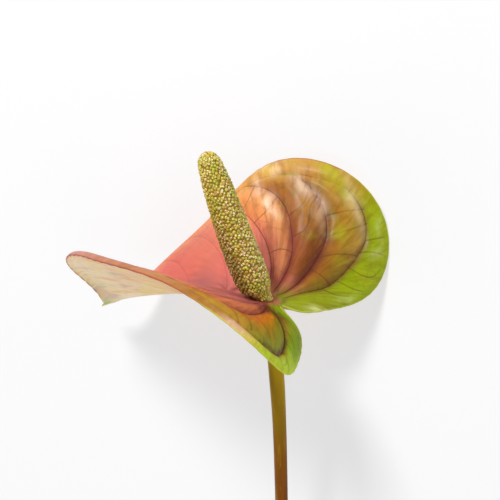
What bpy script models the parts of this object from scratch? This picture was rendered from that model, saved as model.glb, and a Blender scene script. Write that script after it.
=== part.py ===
"""A cut anthurium flower, laid down on a table.

Three pieces grew together: the spathe (a heart-shaped waxy blade, folded up along its midrib), the spadix (the
spike that stands on it, covered in florets) and the peduncle (the long stalk with a slanted cut foot).

Everything is drawn in millimetres in the bloom's own frame. Its origin is where the two lobes of the heart meet,
X runs to the right, Y runs up from the stalk past the bloom, and Z runs towards an eye that looks down on the
lying flower. The blade is first drawn flat, with u along the midrib towards its point and w across it, and is
then bent: its midrib arches, and both halves fold up from it. An empty lays the whole flower on the table.
"""

import math

import bmesh
import bpy
import numpy as np
from mathutils import Vector, geometry

MM = 0.001

# Blade, drawn flat
HALF_WIDTH = 60.8
NEAR_FULLER = 0.025
LOBE_LENGTH = 22.6
TIP_LENGTH = 94.8
BLADE_THICKNESS = 0.9
COLLAR_THICKNESS = 1.8
COLLAR_RADIUS = 8.0
STALK_AT = (3.5, 0.0)
SPIKE_AT = (6.8, -1.0)
OUTLINE_STEPS = 72
POINT_SPACING = 3.0
OUTLINE = (
    (-1.5, 1.0),
    (-8.0, 3.2),
    (-0.62 * LOBE_LENGTH, 0.19 * HALF_WIDTH),
    (-0.92 * LOBE_LENGTH, 0.42 * HALF_WIDTH),
    (-LOBE_LENGTH, 0.66 * HALF_WIDTH),
    (-0.62 * LOBE_LENGTH, 0.92 * HALF_WIDTH),
    (0.0, 1.03 * HALF_WIDTH),
    (0.25 * TIP_LENGTH, 0.985 * HALF_WIDTH),
    (0.45 * TIP_LENGTH, 0.84 * HALF_WIDTH),
    (0.63 * TIP_LENGTH, 0.69 * HALF_WIDTH),
    (0.78 * TIP_LENGTH, 0.455 * HALF_WIDTH),
    (0.89 * TIP_LENGTH, 0.09 * HALF_WIDTH),
    (0.94 * TIP_LENGTH, 0.031 * HALF_WIDTH),
    (0.968 * TIP_LENGTH, 0.016 * HALF_WIDTH),
    (TIP_LENGTH, 0.0),
)
NEAR_SHIFTS = {1: (0.9, 1.4), 2: (-1.1, -0.4), 3: (-0.6, 0.4), 6: (-0.4, 1.6)}

# Blade, bent: where its point heads, how far that dips, how far the blade banks about the midrib
HEADING = 173.9
DIP = 36.4
BANK = 60.3
MIDRIB_U = (-26, 0, 25, 50, 72, 86)
MIDRIB_PITCH = (39, 22, -1.7, -9.7, -16.3, -23.5)
MIDRIB_YAW_U = (-26, 10, 50, 86)
MIDRIB_YAW = (-4.6, -5.6, 0.3, 9.6)
FOLD_U = (-26, -8, 12, 35, 58, 78)
FAR_FOLD_INNER = (-22, -1, 16.7, 21.3, 15.9, 14)
FAR_FOLD_OUTER = (36.6, 42.2, 42.7, 37, 24, 15.6)
NEAR_FOLD_INNER = (-5.8, 18.7, 29, 41.5, 54, 62)
NEAR_FOLD_OUTER = (40.6, 34.8, 38, 42, 45.2, 42.6)
FOLD_REACH = 52.0
CREASE_RADIUS = 7.0

# Margin, which rolls back over the underside
ROLL_WIDTH = 3.2
ROLL_OF_MARGIN = 35.0
ROLL_NEAR_POINT = 90.0
ROLL_RINGS = (0.0, 1.1, 2.2, 3.4)
ROLL_FADE = 16.0

# Veins, sunk between puffed fields, on one half of the flat blade
MAIN_VEINS = (
    ((1, 3), (-4, 12), (-8.3, 18.7), (-10.7, 28), (-11.3, 38), (-10.3, 46.3), (-6, 53), (1, 57.5)),
    ((3, 4), (0, 12), (-1, 20), (-1, 29), (0, 37), (3, 44), (8, 50.5), (16, 55)),
    ((5, 5), (5.2, 16), (7.3, 26), (10.7, 34.3), (16, 42.5), (24, 48), (34, 50)),
    ((7, 5), (12, 18.3), (18, 27), (27, 35.5), (38, 41), (50, 42)),
    ((22, 0), (27, 10), (35, 20), (46, 28), (58, 33), (66, 33)),
    ((38, 0), (44, 7), (53, 15), (64, 21), (75, 23)),
    ((54, 0), (60, 5), (69, 10.5), (80, 14)),
)
NEAR_LOBE_VEIN = ((1, 3), (-5, 12), (-11, 20), (-15, 30), (-16.5, 40), (-14, 48), (-8, 54), (1, 57.5))
MARGIN_VEIN = ((1, 57.5), (16, 55), (34, 50), (50, 42), (66, 33), (75, 23), (80, 14), (88, 5))
MIDRIB_VEIN = ((9, 0), (50, 0), (90, 0))
PUFF_HEIGHT = 2.0
PUFF_REACH = 4.0
PUFF_LOST_TIPWARD = 0.6
GROOVE_DEPTH = 0.6
GROOVE_REACH = 1.2

# Spadix: its line through the bloom's frame, and its radius over its florets
SPADIX_LINE = (
    (-6.0, 3.2, -1.3),
    (-9.2, 9.5, 1.6),
    (-13.5, 20.2, 5.2),
    (-19.9, 37.8, 10.2),
    (-24.6, 51.4, 13.3),
    (-26.0, 55.4, 14.1),
)
SPADIX_S = (0, 2.5, 6, 12, 20, 30, 40, 48, 53, 55.3, 56.8)
SPADIX_RADIUS = (4.7, 5.5, 6.3, 6.7, 6.7, 6.35, 5.8, 5.2, 4.5, 3.6, 2.1)
FLORET_COLUMNS = 30
FLORET_ROWS = 51
FLORET_HEIGHT = 0.75
SPADIX_TWIST = 35.0
SPADIX_FOOT = 6.0

# Peduncle: its line from the bloom to the cut, and its radius
PEDUNCLE_LINE = (
    (-2.6, -2.6, -3.0),
    (-2.2, -6.0, -3.6),
    (-1.2, -16.0, -5.0),
    (0.2, -34.0, -7.4),
    (1.5, -70.0, -12.0),
    (2.8, -130.0, -19.0),
    (3.4, -220.0, -29.5),
    (2.6, -340.0, -43.0),
)
PEDUNCLE_Y = (-340, -240, -130, -70, -54, -40, -30, -15, -6)
PEDUNCLE_RADIUS = (3.05, 2.7, 2.4, 2.4, 2.5, 2.62, 2.8, 2.85, 2.9)
PEDUNCLE_SIDES = 14
PEDUNCLE_RINGS = 44
PEDUNCLE_FLARE = 3.4
CUT_SLANT = 0.7

# Gaps between the pieces, and the pose on the table
SPIKE_GAP = 0.55
STALK_GAP = 0.3
LAY_PITCH = -0.45
LAY_ROLL = 24.68


def clear_scene():
    for old in list(bpy.data.objects):
        bpy.data.objects.remove(old, do_unlink=True)


def spline(stations, values):
    """The natural cubic spline through the values at the stations, as a function of the station."""
    x, y = np.array(stations, float), np.array(values, float)
    step = np.diff(x)
    rise = (np.diff(y, axis=0).T / step).T
    system, bends = np.eye(len(x)), np.zeros_like(y)
    for i in range(1, len(x) - 1):
        system[i, i - 1 : i + 2] = step[i - 1], 2 * (step[i - 1] + step[i]), step[i]
        bends[i] = 6 * (rise[i] - rise[i - 1])
    bends = np.linalg.solve(system, bends)

    def at(t):
        t = np.asarray(t, float)
        i = np.clip(np.searchsorted(x, t) - 1, 0, len(x) - 2)
        a, h = (x[i + 1] - t) / step[i], step[i] ** 2 / 6
        b = 1 - a
        if y.ndim > 1:
            a, b, h = a[..., None], b[..., None], h[..., None]
        return a * y[i] + b * y[i + 1] + ((a**3 - a) * bends[i] + (b**3 - b) * bends[i + 1]) * h

    return at


def curve_through(points):
    """A smooth curve through the points, from 0 to 1, evenly paced by the distance between them."""
    points = np.array(points, float)
    along = np.append(0, np.cumsum(np.linalg.norm(np.diff(points, axis=0), axis=1)))
    return spline(along / along[-1], points), along[-1]


def ease(value, low, high):
    """Rises smoothly from 0 at low to 1 at high."""
    t = np.clip((value - low) / (high - low), 0, 1)
    return t * t * (3 - 2 * t)


def unit(vectors):
    return vectors / np.linalg.norm(vectors, axis=-1, keepdims=True)


def blade_axes():
    """The flat blade's axes: towards its point, towards the far lobe, and up from its upper face."""
    heading, dip, bank = (math.radians(a) for a in (HEADING, DIP, BANK))
    tipward = np.array((math.cos(dip) * math.cos(heading), math.cos(dip) * math.sin(heading), -math.sin(dip)))
    level = np.array((math.sin(heading), -math.cos(heading), 0))
    across = math.cos(bank) * level + math.sin(bank) * np.cross(tipward, level)
    return tipward, across, np.cross(across, tipward)


def midrib_table():
    """Points of the bent midrib every half millimetre of u, with its direction, side and upward axes."""
    u = np.linspace(-34, 100, 269)
    pitch = np.radians(spline(MIDRIB_U, MIDRIB_PITCH)(np.clip(u, -30, 94)))
    yaw = np.radians(np.interp(u, MIDRIB_YAW_U, MIDRIB_YAW))
    tipward, across, up = blade_axes()
    ahead = np.outer(np.cos(pitch) * np.cos(yaw), tipward) + np.outer(np.cos(pitch) * np.sin(yaw), across)
    ahead += np.outer(np.sin(pitch), up)
    side = np.outer(-np.sin(yaw), tipward) + np.outer(np.cos(yaw), across)
    places = np.cumsum(ahead, axis=0) * (u[1] - u[0])
    places -= places[np.argmin(abs(u))]
    return u, places, side, np.cross(side, ahead)


MIDRIB = midrib_table()


def blade_point(u, w):
    """Where the bent blade puts a point of the flat one, before its veins and its rolled margin."""
    table_u, places, side, up = MIDRIB
    place, out, lift = (
        np.stack([np.interp(u, table_u, table[:, k]) for k in range(3)], -1) for table in (places, side, up)
    )
    at_u = np.clip(u, -26, 82)
    far_in, far_out, near_in, near_out = (
        np.radians(spline(FOLD_U, angles)(at_u))[..., None]
        for angles in (FAR_FOLD_INNER, FAR_FOLD_OUTER, NEAR_FOLD_INNER, NEAR_FOLD_OUTER)
    )
    steps = 14
    v = w[..., None] * (np.arange(steps) + 0.5) / steps
    reach = np.abs(v) / FOLD_REACH
    far, near = far_in + (far_out - far_in) * reach, -near_in - (near_out - near_in) * reach
    slope = near + (far - near) * ease(v, -CREASE_RADIUS, CREASE_RADIUS)
    return (
        place
        + (np.cos(slope).mean(-1) * w)[..., None] * out
        + (np.sin(slope).mean(-1) * w)[..., None] * lift
    )


def blade_normal(u, w):
    """The bent blade's upward normal, from its slopes along u and w."""
    d = 0.3
    along = blade_point(u + d, w) - blade_point(u - d, w)
    across = blade_point(u, w + d) - blade_point(u, w - d)
    return unit(np.cross(across, along))


def half_outline(steps, near):
    """One half's outline on the flat blade, from the notch to the point. The near half is a little fuller."""
    points = np.array(OUTLINE, float)
    for i, shift in NEAR_SHIFTS.items() if near else ():
        points[i] += shift
    curve, _ = curve_through(points)
    outline = curve(np.linspace(0, 1, steps + 1))
    if near:
        outline[:, 1] *= -1 - NEAR_FULLER * ease(outline[:, 0], 10, 40)
    return outline


def whole_outline(steps):
    """The outline round the whole flat blade, each point once, but for the notch, which both halves share."""
    return np.concatenate([half_outline(steps, False), half_outline(steps, True)[-2::-1]])


def outward(outline):
    """The unit vectors that point out of the flat outline at each of its points."""
    along = np.roll(outline, -1, axis=0) - np.roll(outline, 1, axis=0)
    out = unit(np.stack([along[:, 1], -along[:, 0]], -1))
    centre = outline.mean(axis=0)
    return out * np.sign(((outline - centre) * out).sum(axis=1).mean())


FINE_OUTLINE = whole_outline(300)
FINE_OUTWARD = outward(FINE_OUTLINE)


def margin(flat):
    """For points of the flat blade: the distance to the margin, its outward direction and its roll in degrees."""
    away = np.linalg.norm(flat[:, None] - FINE_OUTLINE[None], axis=-1)
    nearest = away.argmin(axis=1)
    rim = FINE_OUTLINE[nearest]
    roll = ROLL_OF_MARGIN + (ROLL_NEAR_POINT - ROLL_OF_MARGIN) * ease(-rim[:, 1], 0, 6) * ease(rim[:, 0], 10, 40)
    from_point = np.linalg.norm(rim - (TIP_LENGTH, 0), axis=1)
    from_notch = np.linalg.norm(rim - (-1.5, 0), axis=1)
    roll = roll * ease(from_point, 2, ROLL_FADE) * ease(from_notch, 8, 8 + ROLL_FADE)
    return away[np.arange(len(flat)), nearest], FINE_OUTWARD[nearest], roll


def paced(line, spacing):
    """Points along a smooth curve through the line's points, about one spacing apart."""
    curve, length = curve_through(line)
    return curve(np.linspace(0, 1, max(2, round(length / spacing) + 1)))


def vein_lines(spacing):
    """The veins of both halves, as lists of points on the flat blade."""
    far = [paced(line, spacing) for line in MAIN_VEINS + (MARGIN_VEIN,)]
    near = [paced(line, spacing) * (1, -1) for line in (NEAR_LOBE_VEIN,) + MAIN_VEINS[1:] + (MARGIN_VEIN,)]
    return far + near + [paced(MIDRIB_VEIN, spacing)]


VEIN_POINTS = np.concatenate(vein_lines(0.8))


def puff(flat, edge):
    """How far the blade puffs up between its veins, and sinks in at them, in millimetres."""
    away = np.linalg.norm(flat[:, None] - VEIN_POINTS[None], axis=-1).min(axis=1)
    from_stalk = np.linalg.norm(flat - STALK_AT, axis=1)
    height = PUFF_HEIGHT * (1 - PUFF_LOST_TIPWARD * ease(flat[:, 0], 15, 45))
    shape = height * (1 - np.exp(-away / PUFF_REACH)) - GROOVE_DEPTH * np.exp(-((away / GROOVE_REACH) ** 2))
    return shape * ease(edge, 1, 8) * ease(from_stalk, 6, 18)


def bent(flat):
    """Where the finished blade puts points of the flat one, with its puffed fields and its rolled margin."""
    edge, out, roll = margin(flat)
    over = np.clip(ROLL_WIDTH - edge, 0, None)
    turn = np.radians(np.maximum(roll, 0.5)) * over / ROLL_WIDTH
    radius = ROLL_WIDTH / np.radians(np.maximum(roll, 0.5))
    inner = flat - out * (over - radius * np.sin(turn))[:, None]
    rise = puff(flat, edge) - radius * (1 - np.cos(turn))
    u, w = inner.T
    return blade_point(u, w) + blade_normal(u, w) * rise[:, None]


def apart(points, others, least):
    """The points that keep the least distance to all of the others."""
    return points[np.linalg.norm(points[:, None] - others[None], axis=-1).min(axis=1) >= least]


def flat_triangles():
    """The flat blade's points and triangles: rings inside the margin, the veins, and an even net between them."""
    rim = whole_outline(OUTLINE_STEPS)
    fixed = [rim]
    for inset in ROLL_RINGS[1:]:
        ring = rim - outward(rim) * inset
        true_inset = np.linalg.norm(ring[:, None] - FINE_OUTLINE[None], axis=-1).min(axis=1)
        ring = ring[true_inset > 0.93 * inset]
        fixed.append(apart(ring, np.concatenate(fixed), 0.8 * (ROLL_RINGS[1] - ROLL_RINGS[0])))
    for line in vein_lines(POINT_SPACING):
        inside = np.linalg.norm(line[:, None] - FINE_OUTLINE[None], axis=-1).min(axis=1) > ROLL_RINGS[-1]
        fixed.append(apart(line[inside], np.concatenate(fixed), 0.6 * POINT_SPACING))
    fixed = np.concatenate(fixed)
    rows = np.arange(-LOBE_LENGTH - 5, TIP_LENGTH + 5, POINT_SPACING * math.sqrt(0.75))
    columns = np.arange(-66, 66, POINT_SPACING)
    net = [(u, w + (i % 2) * POINT_SPACING / 2) for i, u in enumerate(rows) for w in columns]
    points = np.concatenate([fixed, apart(np.array(net), fixed, 0.72 * POINT_SPACING)])
    border = list(range(len(rim)))
    inside_only = 1
    result = geometry.delaunay_2d_cdt([Vector(p) for p in points], [], [border], inside_only, 1e-6)
    used, triangles = np.unique(np.array(result[2]), return_inverse=True)
    return np.array([tuple(p) for p in result[0]])[used], triangles.reshape(-1, 3)


def finish(name, mesh, colour, roughness):
    """An object of the mesh, smooth shaded, with its own material."""
    material = bpy.data.materials.new(name + "_skin")
    material.use_nodes = True
    shader = material.node_tree.nodes["Principled BSDF"]
    shader.inputs["Base Color"].default_value = (*colour, 1)
    shader.inputs["Roughness"].default_value = roughness
    shader.inputs["Metallic"].default_value = 0
    mesh.materials.append(material)
    mesh.shade_smooth()
    made = bpy.data.objects.new(name, mesh)
    bpy.context.scene.collection.objects.link(made)
    return made


def thickness_at(flat):
    """The blade's thickness, which grows round the stalk."""
    from_stalk = np.linalg.norm(flat - STALK_AT, axis=1)
    return COLLAR_THICKNESS + (BLADE_THICKNESS - COLLAR_THICKNESS) * ease(from_stalk, 3, COLLAR_RADIUS)


def make_spathe():
    """The blade: a bent sheet of triangles, given its thickness evenly to both sides."""
    flat, triangles = flat_triangles()
    mesh = bpy.data.meshes.new("spathe")
    mesh.from_pydata((bent(flat) * MM).tolist(), [], triangles.tolist())
    upward = blade_normal(flat[:, 0], flat[:, 1])
    facing = sum(np.dot(f.normal, upward[f.vertices[0]]) for f in mesh.polygons)
    if facing < 0:
        mesh.flip_normals()
    made = finish("spathe", mesh, (0.62, 0.20, 0.11), 0.32)
    thickness = made.vertex_groups.new(name="thickness")
    for i, share in enumerate(thickness_at(flat) / COLLAR_THICKNESS):
        thickness.add([i], float(share), "REPLACE")
    shell = made.modifiers.new("thickness", "SOLIDIFY")
    shell.thickness = COLLAR_THICKNESS * MM
    shell.offset = 0
    shell.vertex_group = thickness.name
    return made


def on_blade(middle, radius, sides, side, gap):
    """A ring of points that follows the blade's upper face, with side 1, or its under face, with -1, at a gap."""
    angles = np.arange(sides) * 2 * math.pi / sides
    flat = np.stack([middle[0] + radius * np.cos(angles), middle[1] + radius * np.sin(angles)], -1)
    height = thickness_at(flat) / 2 + gap
    return bent(flat) + blade_normal(flat[:, 0], flat[:, 1]) * (side * height)[:, None]


def skinned(name, rings, poles):
    """A closed mesh through rings of equal counts, with a pole point at each end."""
    body = bmesh.new()
    rows = [[body.verts.new(p * MM) for p in ring] for ring in rings]
    count = len(rows[0])
    for i, (low, high) in enumerate(zip(rows, rows[1:])):
        for j in range(count):
            a, b, c, d = low[j], low[(j + 1) % count], high[(j + 1) % count], high[j]
            # The split runs between the two low corners of a floret.
            if (i + j) % 2:
                body.faces.new((a, b, c))
                body.faces.new((a, c, d))
            else:
                body.faces.new((a, b, d))
                body.faces.new((b, c, d))
    for row, pole in ((rows[0], poles[0]), (rows[-1], poles[1])):
        tip = body.verts.new(pole * MM)
        for j in range(count):
            body.faces.new((row[j], row[(j + 1) % count], tip))
    bmesh.ops.recalc_face_normals(body, faces=body.faces)
    mesh = bpy.data.meshes.new(name)
    body.to_mesh(mesh)
    body.free()
    return mesh


def section_axes(ahead, hint):
    """Two unit vectors across a line, the first as near to the hint as can be."""
    first = unit(hint - (hint * ahead).sum(-1, keepdims=True) * ahead)
    return first, np.cross(ahead, first)


def matched(ring, other):
    """The ring's points in the order and with the start that lie nearest to the other ring's."""
    turned = [np.roll(way, -k, axis=0) for way in (ring, ring[::-1]) for k in range(len(ring))]
    return min(turned, key=lambda points: float(np.linalg.norm(points - other, axis=1).sum()))


def make_spadix():
    """The spike: a diamond lattice of florets, each a low pyramid, from the blade to a domed end."""
    curve, length = curve_through(SPADIX_LINE)
    radius_at = spline(SPADIX_S, SPADIX_RADIUS)
    s = np.linspace(0, SPADIX_S[-1], FLORET_ROWS)
    places = curve(s / length)
    ahead = unit(np.gradient(places, axis=0))
    first, second = section_axes(ahead, np.array((1.0, 0, 0)))
    rings = []
    for i in range(1, FLORET_ROWS):
        angles = 2 * math.pi * np.arange(FLORET_COLUMNS) / FLORET_COLUMNS
        angles = angles + math.radians(SPADIX_TWIST) * s[i] / length
        full = float(radius_at(s[i]))
        sunk = (np.arange(FLORET_COLUMNS) + i) % 2
        radius = full - sunk * FLORET_HEIGHT * ease(s[i], 0, SPADIX_FOOT) * min(1, full / 3)
        across = np.outer(np.cos(angles) * radius, first[i]) + np.outer(np.sin(angles) * radius, second[i])
        rings.append(places[i] + across)
    foot = matched(on_blade(SPIKE_AT, SPADIX_RADIUS[0], FLORET_COLUMNS, 1, SPIKE_GAP), rings[0])
    for i, ring in enumerate(rings):
        lifted = foot + ahead[i + 1] * s[i + 1]
        rings[i] = lifted + (ring - lifted) * ease(s[i + 1], 0, SPADIX_FOOT)
    centre = on_blade(SPIKE_AT, 0, 1, 1, SPIKE_GAP)[0]
    mesh = skinned("spadix", [foot] + rings, (centre, places[-1] + ahead[-1] * 0.5))
    return finish("spadix", mesh, (0.33, 0.37, 0.06), 0.55)


def make_peduncle():
    """The stalk: a round tapering tube from under the blade to a slanted cut."""
    curve, length = curve_through(PEDUNCLE_LINE)
    share = np.linspace(0, 1, PEDUNCLE_RINGS) ** 1.15
    places = curve(share)
    ahead = unit(np.gradient(places, axis=0))
    first, second = section_axes(ahead, np.array((0, 0, 1.0)))
    radius_at = spline(PEDUNCLE_Y, PEDUNCLE_RADIUS)
    angles = 2 * math.pi * np.arange(PEDUNCLE_SIDES) / PEDUNCLE_SIDES
    rings = []
    for i, place in enumerate(places):
        radius = float(radius_at(np.clip(place[1], PEDUNCLE_Y[0], PEDUNCLE_Y[-1])))
        slant = CUT_SLANT * radius * np.cos(angles) * ease(i, PEDUNCLE_RINGS - 3, PEDUNCLE_RINGS - 1)
        rings.append(
            place
            + np.outer(np.cos(angles) * radius, first[i])
            + np.outer(np.sin(angles) * radius, second[i])
            + np.outer(slant, ahead[i])
        )
    top = matched(on_blade(STALK_AT, PEDUNCLE_FLARE, PEDUNCLE_SIDES, -1, STALK_GAP), rings[0])
    mesh = skinned("peduncle", [top] + rings, (on_blade(STALK_AT, 0, 1, -1, STALK_GAP)[0], places[-1]))
    return finish("peduncle", mesh, (0.30, 0.22, 0.05), 0.4)


def lay_down(pieces):
    """Parents the pieces to an empty that lays them on the table, with the origin under their middle."""
    laid = bpy.data.objects.new("laid_flower", None)
    bpy.context.scene.collection.objects.link(laid)
    laid.rotation_euler = (math.radians(LAY_PITCH), math.radians(LAY_ROLL), 0)
    for piece in pieces:
        piece.parent = laid
    bpy.context.view_layer.update()
    graph = bpy.context.evaluated_depsgraph_get()
    corners = []
    for piece in pieces:
        shape = piece.evaluated_get(graph)
        corners += [shape.matrix_world @ v.co for v in shape.data.vertices]
    corners = np.array([tuple(c) for c in corners])
    low, high = corners.min(axis=0), corners.max(axis=0)
    laid.location = (-(low[0] + high[0]) / 2, -(low[1] + high[1]) / 2, -low[2])


def main():
    clear_scene()
    lay_down([make_peduncle(), make_spathe(), make_spadix()])


main()
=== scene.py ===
"""The looks of a cut anthurium flower that lies on a pale table.

The spathe is a waxy heart-shaped blade, coral in the middle and green at its lobes. The spadix is a spike
packed with knobbly florets, and the peduncle is a smooth brown-green stalk with a slanted cut. Lengths are in
millimetres in the bloom's own frame, which has its origin between the two lobes of the heart, X to the right,
Y up from the stalk and Z towards an eye above the table. On the flat blade, u runs along the midrib to its
point and w runs across it. A span is a pair of numbers, the two ends of a range or of a fade.
"""

import logging
import math
import random
from collections.abc import Callable, Sequence
from dataclasses import dataclass, field
from enum import Enum

import bpy
import numpy as np
from mathutils import Euler, Matrix, Vector, kdtree


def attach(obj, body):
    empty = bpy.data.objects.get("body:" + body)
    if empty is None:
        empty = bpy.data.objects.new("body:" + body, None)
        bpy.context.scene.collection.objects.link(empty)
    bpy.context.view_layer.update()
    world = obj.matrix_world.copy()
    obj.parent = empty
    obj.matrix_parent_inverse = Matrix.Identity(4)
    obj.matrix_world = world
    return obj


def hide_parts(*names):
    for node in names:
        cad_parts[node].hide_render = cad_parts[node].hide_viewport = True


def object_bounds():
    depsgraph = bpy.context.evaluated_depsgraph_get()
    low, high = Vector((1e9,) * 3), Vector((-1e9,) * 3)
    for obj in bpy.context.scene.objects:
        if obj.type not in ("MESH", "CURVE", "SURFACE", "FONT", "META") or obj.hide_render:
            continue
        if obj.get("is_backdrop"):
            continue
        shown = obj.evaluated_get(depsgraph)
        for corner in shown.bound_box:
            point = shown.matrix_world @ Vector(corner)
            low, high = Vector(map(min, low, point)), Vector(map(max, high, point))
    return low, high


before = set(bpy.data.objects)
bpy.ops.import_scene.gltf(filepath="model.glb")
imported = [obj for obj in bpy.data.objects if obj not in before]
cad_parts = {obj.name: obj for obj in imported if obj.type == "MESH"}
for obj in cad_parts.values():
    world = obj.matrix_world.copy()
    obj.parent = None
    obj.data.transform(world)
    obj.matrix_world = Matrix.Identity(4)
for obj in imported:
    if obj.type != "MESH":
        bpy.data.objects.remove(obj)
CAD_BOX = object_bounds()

MM = 0.001
FULL_TURN = 2 * math.pi
FLAT_UNIT = 100.0
VEIN_PACE = 0.2
SMOOTH_BELOW = math.radians(50)
LOG = logging.getLogger("anthurium")

Array = np.ndarray
Colour = tuple[float, float, float, float]
Line = Sequence[Sequence[float]]
Span = tuple[float, float]
Stops = tuple[tuple[float, str], ...]


class Body(Enum):
    """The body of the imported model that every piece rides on."""

    ROOT = "root"


class Half(Enum):
    """A half of the heart, far from or near to the camera, as its sign on the flat blade."""

    FAR = 1
    NEAR = -1


def spline(stations: Sequence[float], values: Line | Sequence[float]) -> Callable[[Array], Array]:
    """The natural cubic spline through values at their stations.

    Args:
        stations: Rising numbers, one for each value.
        values: Numbers or points.

    Returns:
        A function from stations to values.
    """
    x, y = np.array(stations, float), np.array(values, float)
    step = np.diff(x)
    rise = (np.diff(y, axis=0).T / step).T
    system, bends = np.eye(len(x)), np.zeros_like(y)
    for i in range(1, len(x) - 1):
        system[i, i - 1 : i + 2] = step[i - 1], 2 * (step[i - 1] + step[i]), step[i]
        bends[i] = 6 * (rise[i] - rise[i - 1])
    bends = np.linalg.solve(system, bends)

    def at(t: Array) -> Array:
        """The spline's values.

        Args:
            t: Stations.

        Returns:
            A value for each.
        """
        t = np.asarray(t, float)
        i = np.clip(np.searchsorted(x, t) - 1, 0, len(x) - 2)
        a, h = (x[i + 1] - t) / step[i], step[i] ** 2 / 6
        b = 1 - a
        if y.ndim > 1:
            a, b, h = a[..., None], b[..., None], h[..., None]
        return a * y[i] + b * y[i + 1] + ((a**3 - a) * bends[i] + (b**3 - b) * bends[i + 1]) * h

    return at


def curve_through(points: Line) -> tuple[Callable[[Array], Array], float]:
    """A smooth curve through points.

    Args:
        points: The points, in order.

    Returns:
        The curve as a function of a share from 0 to 1, and its length along straight steps.
    """
    spots = np.array(points, float)
    along = np.append(0, np.cumsum(np.linalg.norm(np.diff(spots, axis=0), axis=1)))
    return spline(along / along[-1], spots), float(along[-1])


def paced(line: Line) -> Array:
    """Points along a smooth curve through a line's points, about one pace apart."""
    curve, length = curve_through(line)
    return curve(np.linspace(0, 1, max(2, round(length / VEIN_PACE) + 1)))


def read_table(t: Array, stations: Array, table: Array) -> Array:
    """The rows of a table of three columns, read between its rising stations."""
    return np.stack([np.interp(t, stations, table[:, k]) for k in range(3)], -1)


def ease(value: Array | float, low: float, high: float) -> Array:
    """A smooth rise from 0 at low to 1 at high."""
    t = np.clip((value - low) / (high - low), 0, 1)
    return t * t * (3 - 2 * t)


def unit(vectors: Array) -> Array:
    """The vectors at length 1."""
    return vectors / np.linalg.norm(vectors, axis=-1, keepdims=True)


def nearest(points: Array, targets: Array) -> tuple[Array, Array]:
    """The nearest target to each point.

    Args:
        points: Points of the flat blade.
        targets: Points to look among.

    Returns:
        The distances, and the indices of the nearest targets.
    """
    tree = kdtree.KDTree(len(targets))
    for i, (u, w) in enumerate(targets):
        tree.insert((u, w, 0), i)
    tree.balance()
    found = [tree.find((u, w, 0)) for u, w in points]
    return np.array([f[2] for f in found]), np.array([f[1] for f in found])


def signed_distance(points: Array, spots: Array, along: Array) -> Array:
    """The distance to a line, above 0 on its left, seen along it with w upwards.

    Args:
        points: Points of the flat blade.
        spots: The line's points.
        along: The line's direction at each.

    Returns:
        The distances.
    """
    away, at = nearest(points, spots)
    off = points - spots[at]
    return away * np.sign(along[at, 0] * off[:, 1] - along[at, 1] * off[:, 0])


@dataclass(frozen=True)
class Lay:
    """How the flower lies in the row frame: its turn about X and Y, and where the bloom's origin comes."""

    pitch: float = -0.45
    roll: float = 24.68
    origin: tuple[float, float, float] = (30.1, 143.712, 40.599)

    def matrix(self) -> Matrix:
        """From the bloom's frame in metres to the row frame."""
        turn = Euler((math.radians(self.pitch), math.radians(self.roll), 0)).to_matrix().to_4x4()
        return Matrix.Translation(Vector(self.origin) * MM) @ turn

    def place(self, points: Array) -> Array:
        """Points of the bloom's frame, in millimetres, as points of the row frame, in metres.

        Args:
            points: An array of points.

        Returns:
            The same points on the table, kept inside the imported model's box.
        """
        matrix = np.array(self.matrix())
        placed = points * MM @ matrix[:3, :3].T + matrix[:3, 3]
        return np.clip(placed, tuple(CAD_BOX[0]), tuple(CAD_BOX[1]))


LAY = Lay()


@dataclass(frozen=True)
class Touch:
    """A soft oval patch of colour on the flat blade, with its long way's heading in degrees."""

    u: float
    w: float
    long: float
    short: float
    heading: float
    strength: float

    def share(self, flat: Array) -> Array:
        """How much the patch colours each point of the flat blade.

        Args:
            flat: The points.

        Returns:
            A share for each.
        """
        heading = math.radians(self.heading)
        off = flat - (self.u, self.w)
        ahead = off[:, 0] * math.cos(heading) + off[:, 1] * math.sin(heading)
        aside = off[:, 1] * math.cos(heading) - off[:, 0] * math.sin(heading)
        return self.strength * np.exp(-((ahead / self.long) ** 2) - (aside / self.short) ** 2)


def touched(flat: Array, touches: Sequence[Touch]) -> Array:
    """The largest share of any patch at each point, with the patches' ovals made a little uneven."""
    uneven = flat + 0.9 * np.sin(flat[:, ::-1] * 0.55 + (0.7, 2.1))
    return np.max([touch.share(uneven) for touch in touches], axis=0)


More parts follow.
